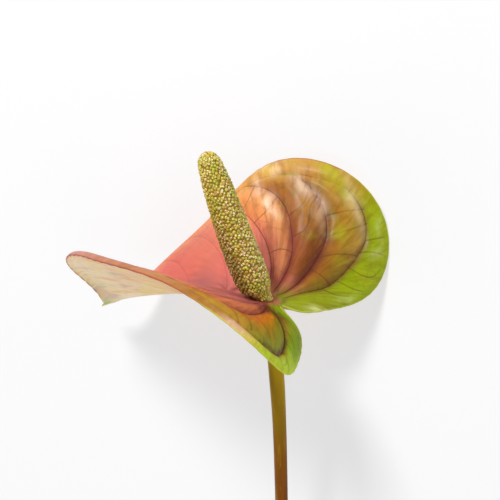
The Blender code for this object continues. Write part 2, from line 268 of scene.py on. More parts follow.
@dataclass
class Blade:
    """The spathe's blade: its flat heart shape, and how it bends, folds, puffs up and rolls."""

    half_width: float = 60.8
    lobe: float = 22.6
    tip: float = 94.8
    notch: float = -1.5
    lobe_outline: Line = ((0.62, 0.19), (0.92, 0.42), (1, 0.66), (0.62, 0.92))
    tip_outline: Line = (
        (0, 1.03), (0.25, 0.985), (0.45, 0.84), (0.63, 0.69), (0.78, 0.455),
        (0.89, 0.09), (0.94, 0.031), (0.968, 0.016), (1, 0),
    )  # fmt: skip
    outline_steps: int = 300
    near_fuller: float = 0.025
    near_span: Span = (10, 40)
    near_shifts: Line = ((1, 0.9, 1.4), (2, -1.1, -0.4), (3, -0.6, 0.4), (6, -0.4, 1.6))
    thickness: float = 0.9
    collar_thickness: float = 1.8
    collar: Span = (3, 8)
    stalk_at: tuple[float, float] = (3.5, 0.0)
    heading: float = 173.9
    dip: float = 36.4
    bank: float = 60.3
    midrib_reach: Span = (-34, 100)
    midrib_steps: int = 269
    pitch_reach: Span = (-30, 94)
    pitch_u: tuple[float, ...] = (-26, 0, 25, 50, 72, 86)
    pitch: tuple[float, ...] = (39, 22, -1.7, -9.7, -16.3, -23.5)
    yaw_u: tuple[float, ...] = (-26, 10, 50, 86)
    yaw: tuple[float, ...] = (-4.6, -5.6, 0.3, 9.6)
    fold_reach: Span = (-26, 82)
    fold_u: tuple[float, ...] = (-26, -8, 12, 35, 58, 78)
    far_inner: tuple[float, ...] = (-22, -1, 16.7, 21.3, 15.9, 14)
    far_outer: tuple[float, ...] = (36.6, 42.2, 42.7, 37, 24, 15.6)
    near_inner: tuple[float, ...] = (-5.8, 18.7, 29, 41.5, 54, 62)
    near_outer: tuple[float, ...] = (40.6, 34.8, 38, 42, 45.2, 42.6)
    fold_width: float = 52.0
    fold_steps: int = 14
    crease_radius: float = 7.0
    roll_width: float = 3.2
    roll_of_margin: float = 35.0
    roll_near_point: float = 90.0
    roll_least: float = 0.5
    roll_near_side: Span = (0, 6)
    roll_from_point: Span = (2, 16)
    roll_from_notch: Span = (8, 24)
    puff_height: float = 2.0
    puff_reach: float = 4.0
    puff_lost_tipward: float = 0.75
    puff_spans: tuple[Span, Span, Span] = ((15, 45), (1, 8), (6, 18))
    quilt_height: float = 0.22
    quilt_reach: float = 1.6
    quilt_span: Span = (0.5, 2.5)
    groove_depth: float = 0.6
    groove_reach: float = 1.2
    vein_run_on: float = 25.0
    field_width: float = 12.0
    main_veins: tuple[Line, ...] = (
        ((1, 3), (-4, 12), (-8.3, 18.7), (-10.7, 28), (-11.3, 38), (-10.3, 46.3), (-6, 53), (1, 57.5)),
        ((3, 4), (0, 12), (-1, 20), (-1, 29), (0, 37), (3, 44), (8, 50.5), (16, 55)),
        ((5, 5), (5.2, 16), (7.3, 26), (10.7, 34.3), (16, 42.5), (24, 48), (34, 50)),
        ((7, 5), (12, 18.3), (18, 27), (27, 35.5), (38, 41), (50, 42)),
        ((22, 0), (27, 10), (35, 20), (46, 28), (58, 33), (66, 33)),
        ((38, 0), (44, 7), (53, 15), (64, 21), (75, 23)),
        ((54, 0), (60, 5), (69, 10.5), (80, 14)),
    )
    near_lobe_vein: Line = (
        (1, 3), (-5, 12), (-11, 20), (-15, 30), (-16.5, 40), (-14, 48), (-8, 54), (1, 57.5),
    )  # fmt: skip
    margin_vein: Line = ((1, 57.5), (16, 55), (34, 50), (50, 42), (66, 33), (75, 23), (80, 14), (88, 5))
    midrib_vein: Line = ((9, 0), (50, 0), (90, 0))
    twigs: tuple[Line, ...] = (
        ((0, 37), (-4.7, 44.3), (-8, 50.7)),
        ((-2.3, 29.3), (-7, 35), (-11, 39)),
        ((8.3, 31.7), (6.7, 34.3), (7.7, 44.3), (7, 51.3)),
        ((-11, 46.3), (-14.3, 51.7), (-16, 55)),
        ((-10.8, 40), (-14, 44), (-18, 47.5)),
        ((-11, 33), (-15.5, 34), (-19, 38), (-19.5, 44)),
        ((-10.3, 25), (-15, 26.5), (-20, 31)),
        ((-7.5, 17.5), (-12, 19), (-17, 24)),
        ((-1, 22), (-5, 22), (-9.3, 22)),
        ((3, 44), (-1, 49), (-5, 54)),
        ((13, 38.5), (10, 44), (10.5, 51.5)),
        ((24, 33), (20, 38), (19, 44.5)),
        ((31, 38.5), (29, 43), (29, 49)),
        ((14, 21), (10, 24), (7, 25)),
        ((42, 25.5), (38, 31), (34, 39)),
        ((52, 30.5), (49, 36), (47, 42)),
        ((59, 18.8), (56, 25), (53, 31)),
        ((70, 22.4), (68, 27), (65, 33)),
    )
    midrib_u: Array = field(init=False, repr=False)
    midrib: tuple[Array, Array, Array] = field(init=False, repr=False)
    rim: Array = field(init=False, repr=False)
    rim_out: Array = field(init=False, repr=False)
    vein_points: Array = field(init=False, repr=False)

    def __post_init__(self) -> None:
        """Works out the bent midrib, the fine outline and the points along the veins."""
        self.midrib_u, self.midrib = self.bent_midrib()
        self.rim = self.outline_points(self.outline_steps)
        along = np.roll(self.rim, -1, axis=0) - np.roll(self.rim, 1, axis=0)
        out = unit(np.stack([along[:, 1], -along[:, 0]], -1))
        self.rim_out = out * np.sign(((self.rim - self.rim.mean(axis=0)) * out).sum(axis=1).mean())
        lines = [paced(self.midrib_vein)]
        for half in Half:
            lines += [paced(line) * (1, half.value) for line in self.veins_of(half) + (self.margin_vein,)]
        self.vein_points = np.concatenate(lines)

    def bent_midrib(self) -> tuple[Array, tuple[Array, Array, Array]]:
        """The bent midrib as a table over u.

        Returns:
            The stations, and at each the place, the side axis and the upward axis.
        """
        heading, dip, bank = (math.radians(a) for a in (self.heading, self.dip, self.bank))
        level_part = math.cos(dip)
        tipward = np.array((level_part * math.cos(heading), level_part * math.sin(heading), -math.sin(dip)))
        level = np.array((math.sin(heading), -math.cos(heading), 0))
        across = math.cos(bank) * level + math.sin(bank) * np.cross(tipward, level)
        up = np.cross(across, tipward)
        u = np.linspace(*self.midrib_reach, self.midrib_steps)
        pitch = np.radians(spline(self.pitch_u, self.pitch)(np.clip(u, *self.pitch_reach)))
        yaw = np.radians(np.interp(u, self.yaw_u, self.yaw))
        ahead = np.outer(np.cos(pitch) * np.cos(yaw), tipward)
        ahead += np.outer(np.cos(pitch) * np.sin(yaw), across)
        ahead += np.outer(np.sin(pitch), up)
        side = np.outer(-np.sin(yaw), tipward) + np.outer(np.cos(yaw), across)
        places = np.cumsum(ahead, axis=0) * (u[1] - u[0])
        places -= places[np.argmin(abs(u))]
        return u, (places, side, np.cross(side, ahead))

    def veins_of(self, half: Half) -> tuple[Line, ...]:
        """The main veins of a half, drawn as for the far one."""
        return self.main_veins if half is Half.FAR else (self.near_lobe_vein,) + self.main_veins[1:]

    def half_outline(self, half: Half, shares: Array) -> Array:
        """Points of a half's outline on the flat blade.

        Args:
            half: Which half. The near one is a little fuller.
            shares: From the notch, 0, to the point, 1.

        Returns:
            The flat points.
        """
        points = [(self.notch, 1.0), (-8.0, 3.2)]
        points += [(-back * self.lobe, wide * self.half_width) for back, wide in self.lobe_outline]
        points += [(ahead * self.tip, wide * self.half_width) for ahead, wide in self.tip_outline]
        if half is Half.FAR:
            return curve_through(points)[0](shares)
        for i, du, dw in self.near_shifts:
            points[i] = (points[i][0] + du, points[i][1] + dw)
        outline = curve_through(points)[0](shares)
        outline[:, 1] *= -1 - self.near_fuller * ease(outline[:, 0], *self.near_span)
        return outline

    def outline_points(self, steps: int) -> Array:
        """The outline round the whole flat blade, each point once.

        Args:
            steps: How many steps each half has.

        Returns:
            The flat points.
        """
        shares = np.linspace(0, 1, steps + 1)
        far, near = self.half_outline(Half.FAR, shares), self.half_outline(Half.NEAR, shares[-2::-1])
        return np.concatenate([far, near])

    def point(self, u: Array, w: Array) -> Array:
        """Where the bent blade puts points of the flat one, before its veins and its rolled margin.

        Args:
            u: Their places along the midrib.
            w: Their places across it.

        Returns:
            The points in the bloom's frame.
        """
        place, out, lift = (read_table(u, self.midrib_u, table) for table in self.midrib)
        at_u = np.clip(u, *self.fold_reach)
        far_in, far_out, near_in, near_out = (
            np.radians(spline(self.fold_u, angles)(at_u))[..., None]
            for angles in (self.far_inner, self.far_outer, self.near_inner, self.near_outer)
        )
        v = w[..., None] * (np.arange(self.fold_steps) + 0.5) / self.fold_steps
        reach = np.abs(v) / self.fold_width
        far, near = far_in + (far_out - far_in) * reach, -near_in - (near_out - near_in) * reach
        slope = near + (far - near) * ease(v, -self.crease_radius, self.crease_radius)
        aside, upward = (np.cos(slope).mean(-1) * w)[..., None], (np.sin(slope).mean(-1) * w)[..., None]
        return place + (aside * out + upward * lift)

    def normal(self, u: Array, w: Array) -> Array:
        """The bent blade's upward normal.

        Args:
            u: Places along the midrib.
            w: Places across it.

        Returns:
            A unit vector for each.
        """
        d = 0.3
        along = self.point(u + d, w) - self.point(u - d, w)
        across = self.point(u, w + d) - self.point(u, w - d)
        return unit(np.cross(across, along))

    def from_stalk(self, flat: Array) -> Array:
        """The distance of flat points from where the stalk meets the blade."""
        return np.linalg.norm(flat - self.stalk_at, axis=1)

    def puff(self, flat: Array, edge: Array) -> Array:
        """How far the blade puffs up between its veins and sinks in at them.

        Args:
            flat: Points of the flat blade.
            edge: Their distances from the rim.

        Returns:
            The heights.
        """
        away, _ = nearest(flat, self.vein_points)
        by_tip, by_rim, by_stalk = self.puff_spans
        shape = self.puff_height * (1 - np.exp(-away / self.puff_reach))
        shape = shape - self.groove_depth * np.exp(-((away / self.groove_reach) ** 2))
        quilt = self.quilt_height * np.exp(-((self.off_twigs(flat) / self.quilt_reach) ** 2))
        quilt = quilt * ease(away, *self.quilt_span)
        fade = 1 - self.puff_lost_tipward * ease(flat[:, 0], *by_tip)
        return (shape - quilt) * fade * ease(edge, *by_rim) * ease(self.from_stalk(flat), *by_stalk)

    def bent(self, flat: Array) -> Array:
        """Where the finished blade puts points of the flat one, with its puffed fields and rolled margin.

        Args:
            flat: The points.

        Returns:
            The points in the bloom's frame.
        """
        edge, at = nearest(flat, self.rim)
        rim = self.rim[at]
        more = ease(-rim[:, 1], *self.roll_near_side) * ease(rim[:, 0], *self.near_span)
        roll = self.roll_of_margin + (self.roll_near_point - self.roll_of_margin) * more
        from_point = np.linalg.norm(rim - (self.tip, 0), axis=1)
        from_notch = np.linalg.norm(rim - (self.notch, 0), axis=1)
        roll = roll * ease(from_point, *self.roll_from_point) * ease(from_notch, *self.roll_from_notch)
        roll = np.radians(np.maximum(roll, self.roll_least))
        over = np.clip(self.roll_width - edge, 0, None)
        turn, radius = roll * over / self.roll_width, self.roll_width / roll
        inner = flat - self.rim_out[at] * (over - radius * np.sin(turn))[:, None]
        rise = self.puff(flat, edge) - radius * (1 - np.cos(turn))
        u, w = inner.T
        return self.point(u, w) + self.normal(u, w) * rise[:, None]

    def thickness_at(self, flat: Array) -> Array:
        """The blade's thickness, which grows round the stalk."""
        thinner = self.thickness - self.collar_thickness
        return self.collar_thickness + thinner * ease(self.from_stalk(flat), *self.collar)

    def ring(
        self, middle: tuple[float, float], radius: float, angles: Array, side: int, gap: float
    ) -> Array:
        """A ring of points that follows one face of the blade.

        Args:
            middle: The ring's middle on the flat blade.
            radius: Its radius there.
            angles: The angles of its points, in radians.
            side: 1 for the upper face, -1 for the under face.
            gap: How far off that face it stays.

        Returns:
            The points in the bloom's frame.
        """
        flat = np.stack([middle[0] + radius * np.cos(angles), middle[1] + radius * np.sin(angles)], -1)
        height = self.thickness_at(flat) / 2 + gap
        return self.bent(flat) + self.normal(flat[:, 0], flat[:, 1]) * (side * height)[:, None]

    def by_half(self, flat: Array, measure: Callable[[Array, Half], Array]) -> Array:
        """Numbers for points of the flat blade, measured half by half.

        Args:
            flat: The points.
            measure: Takes points with w above 0, and their half.

        Returns:
            The numbers, in the points' order.
        """
        values = np.empty(len(flat))
        for half in Half:
            mine = (flat[:, 1] < 0) == (half is Half.NEAR)
            values[mine] = measure(flat[mine] * (1, half.value), half)
        return values

    def off_line(self, points: Array, line: Line, past: float = 0.0) -> Array:
        """The distance to a line, above 0 on its left.

        Args:
            points: Points of the flat blade.
            line: The line's points.
            past: How far the line runs straight on at its end.

        Returns:
            The distances.
        """
        spots = paced(line)
        beyond = np.arange(1, round(past / VEIN_PACE) + 1)[:, None]
        spots = np.concatenate([spots, spots[-1] + (spots[-1] - spots[-2]) * beyond])
        return signed_distance(points, spots, np.gradient(spots, axis=0))

    def off_main_veins(self, flat: Array) -> Array:
        """The distance to the nearest main vein, with a sign that swaps at each, so that it runs through 0.

        Args:
            flat: Points of the flat blade.

        Returns:
            The distances.
        """

        def measure(points: Array, half: Half) -> Array:
            """The distances in one half."""
            offs = np.stack([self.off_line(points, line) for line in self.veins_of(half)])
            return np.abs(offs).min(axis=0) * (1 - 2 * ((offs > 0).sum(axis=0) % 2))

        return self.by_half(flat, measure)

    def field_at(self, flat: Array) -> Array:
        """Where points lie among the main veins.

        Args:
            flat: Points of the flat blade.

        Returns:
            For each, k on vein k, a share more between two, and below 0 in the lobe.
        """

        def measure(points: Array, half: Half) -> Array:
            """The places in one half.

            Args:
                points: Points of that half, with w above 0.
                half: Which half.

            Returns:
                A place for each.
            """
            offs = np.stack([self.off_line(points, line, self.vein_run_on) for line in self.veins_of(half)])
            passed, last, columns = (offs < 0).sum(axis=0), len(offs) - 1, np.arange(len(points))
            before = np.abs(offs[np.clip(passed - 1, 0, last), columns])
            after = np.abs(offs[np.clip(passed, 0, last), columns])
            between = passed - 1 + before / np.maximum(before + after, 1e-6)
            ends = [-after / self.field_width, last + before / self.field_width]
            return np.select([passed == 0, passed > last], ends, between)

        return self.by_half(flat, measure)

    def off_margin_vein(self, flat: Array) -> Array:
        """The distance to the vein along the margin, above 0 inside it."""
        return self.by_half(flat, lambda points, half: -self.off_line(points, self.margin_vein))

    def off_twigs(self, flat: Array) -> Array:
        """The distance to the nearest small cross vein, with its side as the sign.

        Args:
            flat: Points of the flat blade.

        Returns:
            The distances.
        """
        folded = np.abs(flat * (0, 1)) + flat * (1, 0)
        lines = [paced(line) for line in self.twigs]
        along = np.concatenate([np.gradient(line, axis=0) for line in lines])
        return signed_distance(folded, np.concatenate(lines), along)


def linear(hexcode: str) -> Colour:
    """A colour written as on screen, such as ee8c70, as the linear numbers that a shader takes.

    Args:
        hexcode: The screen colour.

    Returns:
        Red, green, blue and an alpha of 1.
    """
    parts = [int(hexcode[i : i + 2], 16) / 255 for i in (0, 2, 4)]
    red, green, blue = (p / 12.92 if p <= 0.04045 else ((p + 0.055) / 1.055) ** 2.4 for p in parts)
    return red, green, blue, 1.0


def operator(operation: str, swapped: bool = False) -> Callable[["Flow", "Flow | float"], "Flow"]:
    """A method of Flow for one of the usual operators.

    Args:
        operation: What the Math node does.
        swapped: Whether the other value comes first, as in 1 - flow.

    Returns:
        The method.
    """

    def method(flow: "Flow", other: "Flow | float") -> "Flow":
        """A Math node on the two values."""
        return flow.math(operation, other, flow) if swapped else flow.math(operation, flow, other)

    return method


class Flow:
    """A number that flows through a material's nodes. The usual operators add Math nodes."""

    def __init__(self, paint: "Paint", socket: bpy.types.NodeSocket) -> None:
        """Wraps an output socket of the paint's nodes."""
        self.paint = paint
        self.socket = socket

    def math(self, operation: str, *values: "Flow | float") -> "Flow":
        """A Math node on these values."""
        node = self.paint.add("ShaderNodeMath", {"operation": operation}, dict(enumerate(values)))
        return Flow(self.paint, node.outputs[0])

    __add__, __radd__ = operator("ADD"), operator("ADD", swapped=True)
    __sub__, __rsub__ = operator("SUBTRACT"), operator("SUBTRACT", swapped=True)
    __mul__, __rmul__ = operator("MULTIPLY"), operator("MULTIPLY", swapped=True)
    __truediv__, __rtruediv__ = operator("DIVIDE"), operator("DIVIDE", swapped=True)

    def __abs__(self) -> "Flow":
        """The size without its sign."""
        return self.math("ABSOLUTE", self)

    def smooth(self, low: float, high: float) -> "Flow":
        """A smooth rise from 0 at low to 1 at high, or a fall where low is above high.

        Args:
            low: Where it is 0.
            high: Where it is 1.

        Returns:
            The number from 0 to 1.
        """
        if low > high:
            return 1 - self.smooth(high, low)
        sockets = {"Value": self, "From Min": low, "From Max": high}
        node = self.paint.add("ShaderNodeMapRange", {"interpolation_type": "SMOOTHSTEP"}, sockets)
        return Flow(self.paint, node.outputs["Result"])


class Paint:
    """A material that is made of nodes, and the few ways in which its nodes are added."""

    def __init__(self, name: str) -> None:
        """Starts a material with its shader and output only.

        Args:
            name: The material's name.
        """
        self.material = bpy.data.materials.new(name)
        self.material.use_nodes = True
        self.tree = self.material.node_tree
        self.shader = self.tree.nodes["Principled BSDF"]

    def add(self, kind: str, settings: dict | None = None, sockets: dict | None = None) -> bpy.types.Node:
        """Adds a node.

        Args:
            kind: The node's type.
            settings: Its properties, and a ramp's stops, which are set first.
            sockets: The value or link of each input, by name or place.

        Returns:
            The node.
        """
        node = self.tree.nodes.new(kind)
        for name, value in (settings or {}).items():
            if name == "stops":
                self.set_stops(node.color_ramp, value)
            else:
                setattr(node, name, value)
        for name, value in (sockets or {}).items():
            self.feed(node.inputs[name], value)
        return node

    @staticmethod
    def set_stops(ramp: bpy.types.ColorRamp, stops: Sequence[tuple[float, Colour]]) -> None:
        """Gives a ramp its stops.

        Args:
            ramp: The ramp, which has at most as many stops as it gets.
            stops: The place and the colour of each.
        """
        while len(ramp.elements) < len(stops):
            ramp.elements.new(1.0)
        for element, (place, colour) in zip(ramp.elements, stops):
            element.position = place
            element.color = colour

    def feed(self, socket: bpy.types.NodeSocket, value: object) -> None:
        """Links or sets an input.

        Args:
            socket: The input.
            value: A flow or an output socket to link, or a value to set, with a colour as on screen.
        """
        if isinstance(value, Flow):
            value = value.socket
        if isinstance(value, bpy.types.NodeSocket):
            self.tree.links.new(value, socket)
        else:
            socket.default_value = linear(value) if isinstance(value, str) else value

    def attribute(self, name: str) -> Flow:
        """A number that the mesh holds at its points."""
        return Flow(self, self.add("ShaderNodeAttribute", {"attribute_name": name}).outputs["Fac"])

    def place(self) -> bpy.types.NodeSocket:
        """The place in the object's own frame, in metres."""
        return self.add("ShaderNodeTexCoord").outputs["Object"]

    def split(self, vector: bpy.types.NodeSocket, unit_size: float) -> list[Flow]:
        """The three numbers of a vector, each multiplied."""
        node = self.add("ShaderNodeSeparateXYZ", None, {0: self.scaled(vector, (unit_size,) * 3)})
        return [Flow(self, output) for output in node.outputs]

    def joined(self, x: Flow, y: Flow) -> bpy.types.NodeSocket:
        """A vector of two numbers."""
        return self.add("ShaderNodeCombineXYZ", None, {0: x, 1: y}).outputs[0]

    def on_vector(self, operation: str, vector: bpy.types.NodeSocket, other: object) -> bpy.types.NodeSocket:
        """A Vector Math node on two vectors."""
        return self.add("ShaderNodeVectorMath", {"operation": operation}, {0: vector, 1: other}).outputs[0]

    def scaled(self, vector: bpy.types.NodeSocket, by: tuple[float, float, float]) -> bpy.types.NodeSocket:
        """A vector with its numbers multiplied."""
        return self.on_vector("MULTIPLY", vector, by)

    def noise(
        self, vector: bpy.types.NodeSocket, scale: float, detail: float = 2.0, rough: float = 0.5
    ) -> Flow:
        """Soft noise from 0 to 1.

        Args:
            vector: Where it is read.
            scale: How fine it is.
            detail: How many finer layers it has.
            rough: How strong those are.

        Returns:
            The noise.
        """
        sockets = {"Vector": vector, "Scale": scale, "Detail": detail, "Roughness": rough}
        return Flow(self, self.add("ShaderNodeTexNoise", None, sockets).outputs["Fac"])

    def warped(self, vector: bpy.types.NodeSocket, scale: float, amount: float) -> bpy.types.NodeSocket:
        """A vector pushed about by noise.

        Args:
            vector: The vector.
            scale: How fine the noise is.
            amount: How far it pushes.

        Returns:
            The new vector.
        """
        sockets = {"Vector": vector, "Scale": scale, "Detail": 2.0}
        noise = self.add("ShaderNodeTexNoise", None, sockets).outputs["Color"]
        centred = self.on_vector("SUBTRACT", noise, (0.5, 0.5, 0.5))
        return self.on_vector("ADD", vector, self.scaled(centred, (amount, amount, amount)))

    def cell_edge(self, vector: bpy.types.NodeSocket, scale: float) -> Flow:
        """The distance to the nearest edge of a net of cells.

        Args:
            vector: Where it is read.
            scale: How fine the net is.

        Returns:
            The distance.
        """
        sockets = {"Vector": vector, "Scale": scale}
        node = self.add("ShaderNodeTexVoronoi", {"feature": "DISTANCE_TO_EDGE"}, sockets)
        return Flow(self, node.outputs["Distance"])

    def layers(self, colour: object, *tops: tuple[Flow | float, object]) -> bpy.types.NodeSocket:
        """Colours laid over each other.

        Args:
            colour: The colour at the bottom.
            tops: From the bottom up, how much of each colour shows, and the colour.

        Returns:
            The mixed colour.
        """
        settings = {"data_type": "RGBA", "blend_type": "MIX", "clamp_factor": True}
        for share, top in tops:
            colour = self.add("ShaderNodeMix", settings, {0: share, 6: colour, 7: top}).outputs[2]
        return colour

    def ramp(self, value: Flow, stops: Stops) -> bpy.types.NodeSocket:
        """A colour from a ramp.

        Args:
            value: The number that runs along it.
            stops: The numbers and their screen colours, in rising order.

        Returns:
            The colour.
        """
        low, high = stops[0][0], stops[-1][0]
        shares = [((at - low) / (high - low), linear(code)) for at, code in stops]
        along = {0: (value - low) / (high - low)}
        return self.add("ShaderNodeValToRGB", {"stops": shares}, along).outputs[0]

    def bump(self, height: Flow, depth: float, strength: float = 1.0) -> bpy.types.NodeSocket:
        """A normal that shows the height as relief of this depth in metres."""
        sockets = {"Height": height, "Distance": depth, "Strength": strength}
        return self.add("ShaderNodeBump", None, sockets).outputs[0]

    def finish(self, **sockets: object) -> bpy.types.Material:
        """Feeds the shader.

        Args:
            sockets: Values and links, by the inputs' names in small letters joined by an underscore.

        Returns:
            The finished material.
        """
        names = {name.lower().replace(" ", "_"): name for name in self.shader.inputs.keys()}
        for name, value in sockets.items():
            self.feed(self.shader.inputs[names[name]], value)
        return self.material


class BladePaint(Paint):
    """A paint for a face of the blade, with what both faces read: places, distances, noises and veins."""

    def __init__(self, name: str, patch_scale: float, spot_scale: float) -> None:
        """Reads the place on the flat blade, and adds the noises.

        Args:
            name: The material's name.
            patch_scale: How fine the wide patches are.
            spot_scale: How fine the spots in them are.
        """
        super().__init__(name)
        self.flat = self.add("ShaderNodeUVMap", {"uv_map": "flat"}).outputs[0]
        self.u, self.w, _ = self.split(self.flat, FLAT_UNIT)
        self.wide, self.rim, self.stalk = abs(self.w), self.attribute("rim"), self.attribute("stalk")
        self.patches = self.noise(self.flat, patch_scale, 3)
        self.spots, self.fine = self.noise(self.flat, spot_scale, 2), self.noise(self.flat, 50, 3)
        ahead_of_stalk = self.u - Blade.stalk_at[0]
        self.turn = self.u.math("ARCTAN2", self.wide, ahead_of_stalk) * (180 / math.pi)

    def streaks(self, by_turn: float, by_stalk: float, detail: float, rough: float = 0.5) -> Flow:
        """Noise that is drawn out from the stalk.

        Args:
            by_turn: How fine it is round the stalk.
            by_stalk: How fine it is away from it.
            detail: How many finer layers it has.
            rough: How strong those are.

        Returns:
            The noise.
        """
        return self.noise(self.joined(self.turn * by_turn, self.stalk * by_stalk), 1, detail, rough)

    def net(self) -> Flow:
        """The fine net between the veins, thinned here and there."""
        cells = self.cell_edge(self.warped(self.flat, 18, 0.035), 22).smooth(0.1, 0.0)
        return cells * self.rim.smooth(1, 4) * self.stalk.smooth(10, 18) * self.patches.smooth(0.35, 0.6)

    def twigs(self) -> Flow:
        """The small cross veins."""
        line = abs(self.attribute("twig_side")).smooth(0.42, 0.06)
        return line * self.attribute("twig").smooth(1.3, 0.6) * self.rim.smooth(1.2, 4)

    def main_veins(self) -> tuple[Flow, Flow]:
        """The main veins, and the band beside them, which the upper face darkens into painted shade in the
        creases.

        Returns:
            How much of each shows.
        """
        fan, inside = abs(self.attribute("fan")), self.attribute("hem").smooth(-0.3, 0.3)
        inside = inside * self.stalk.smooth(4, 8)
        return fan.smooth(0.42, 0.1) * inside, fan.smooth(2.6, 0.2) * inside

    def margin_vein(self) -> Flow:
        """The vein along the margin."""
        return abs(self.attribute("hem")).smooth(0.6, 0.1)

    def midrib(self) -> Flow:
        """The midrib."""
        return self.wide.smooth(1.1, 0.2) * self.u.smooth(6, 12)


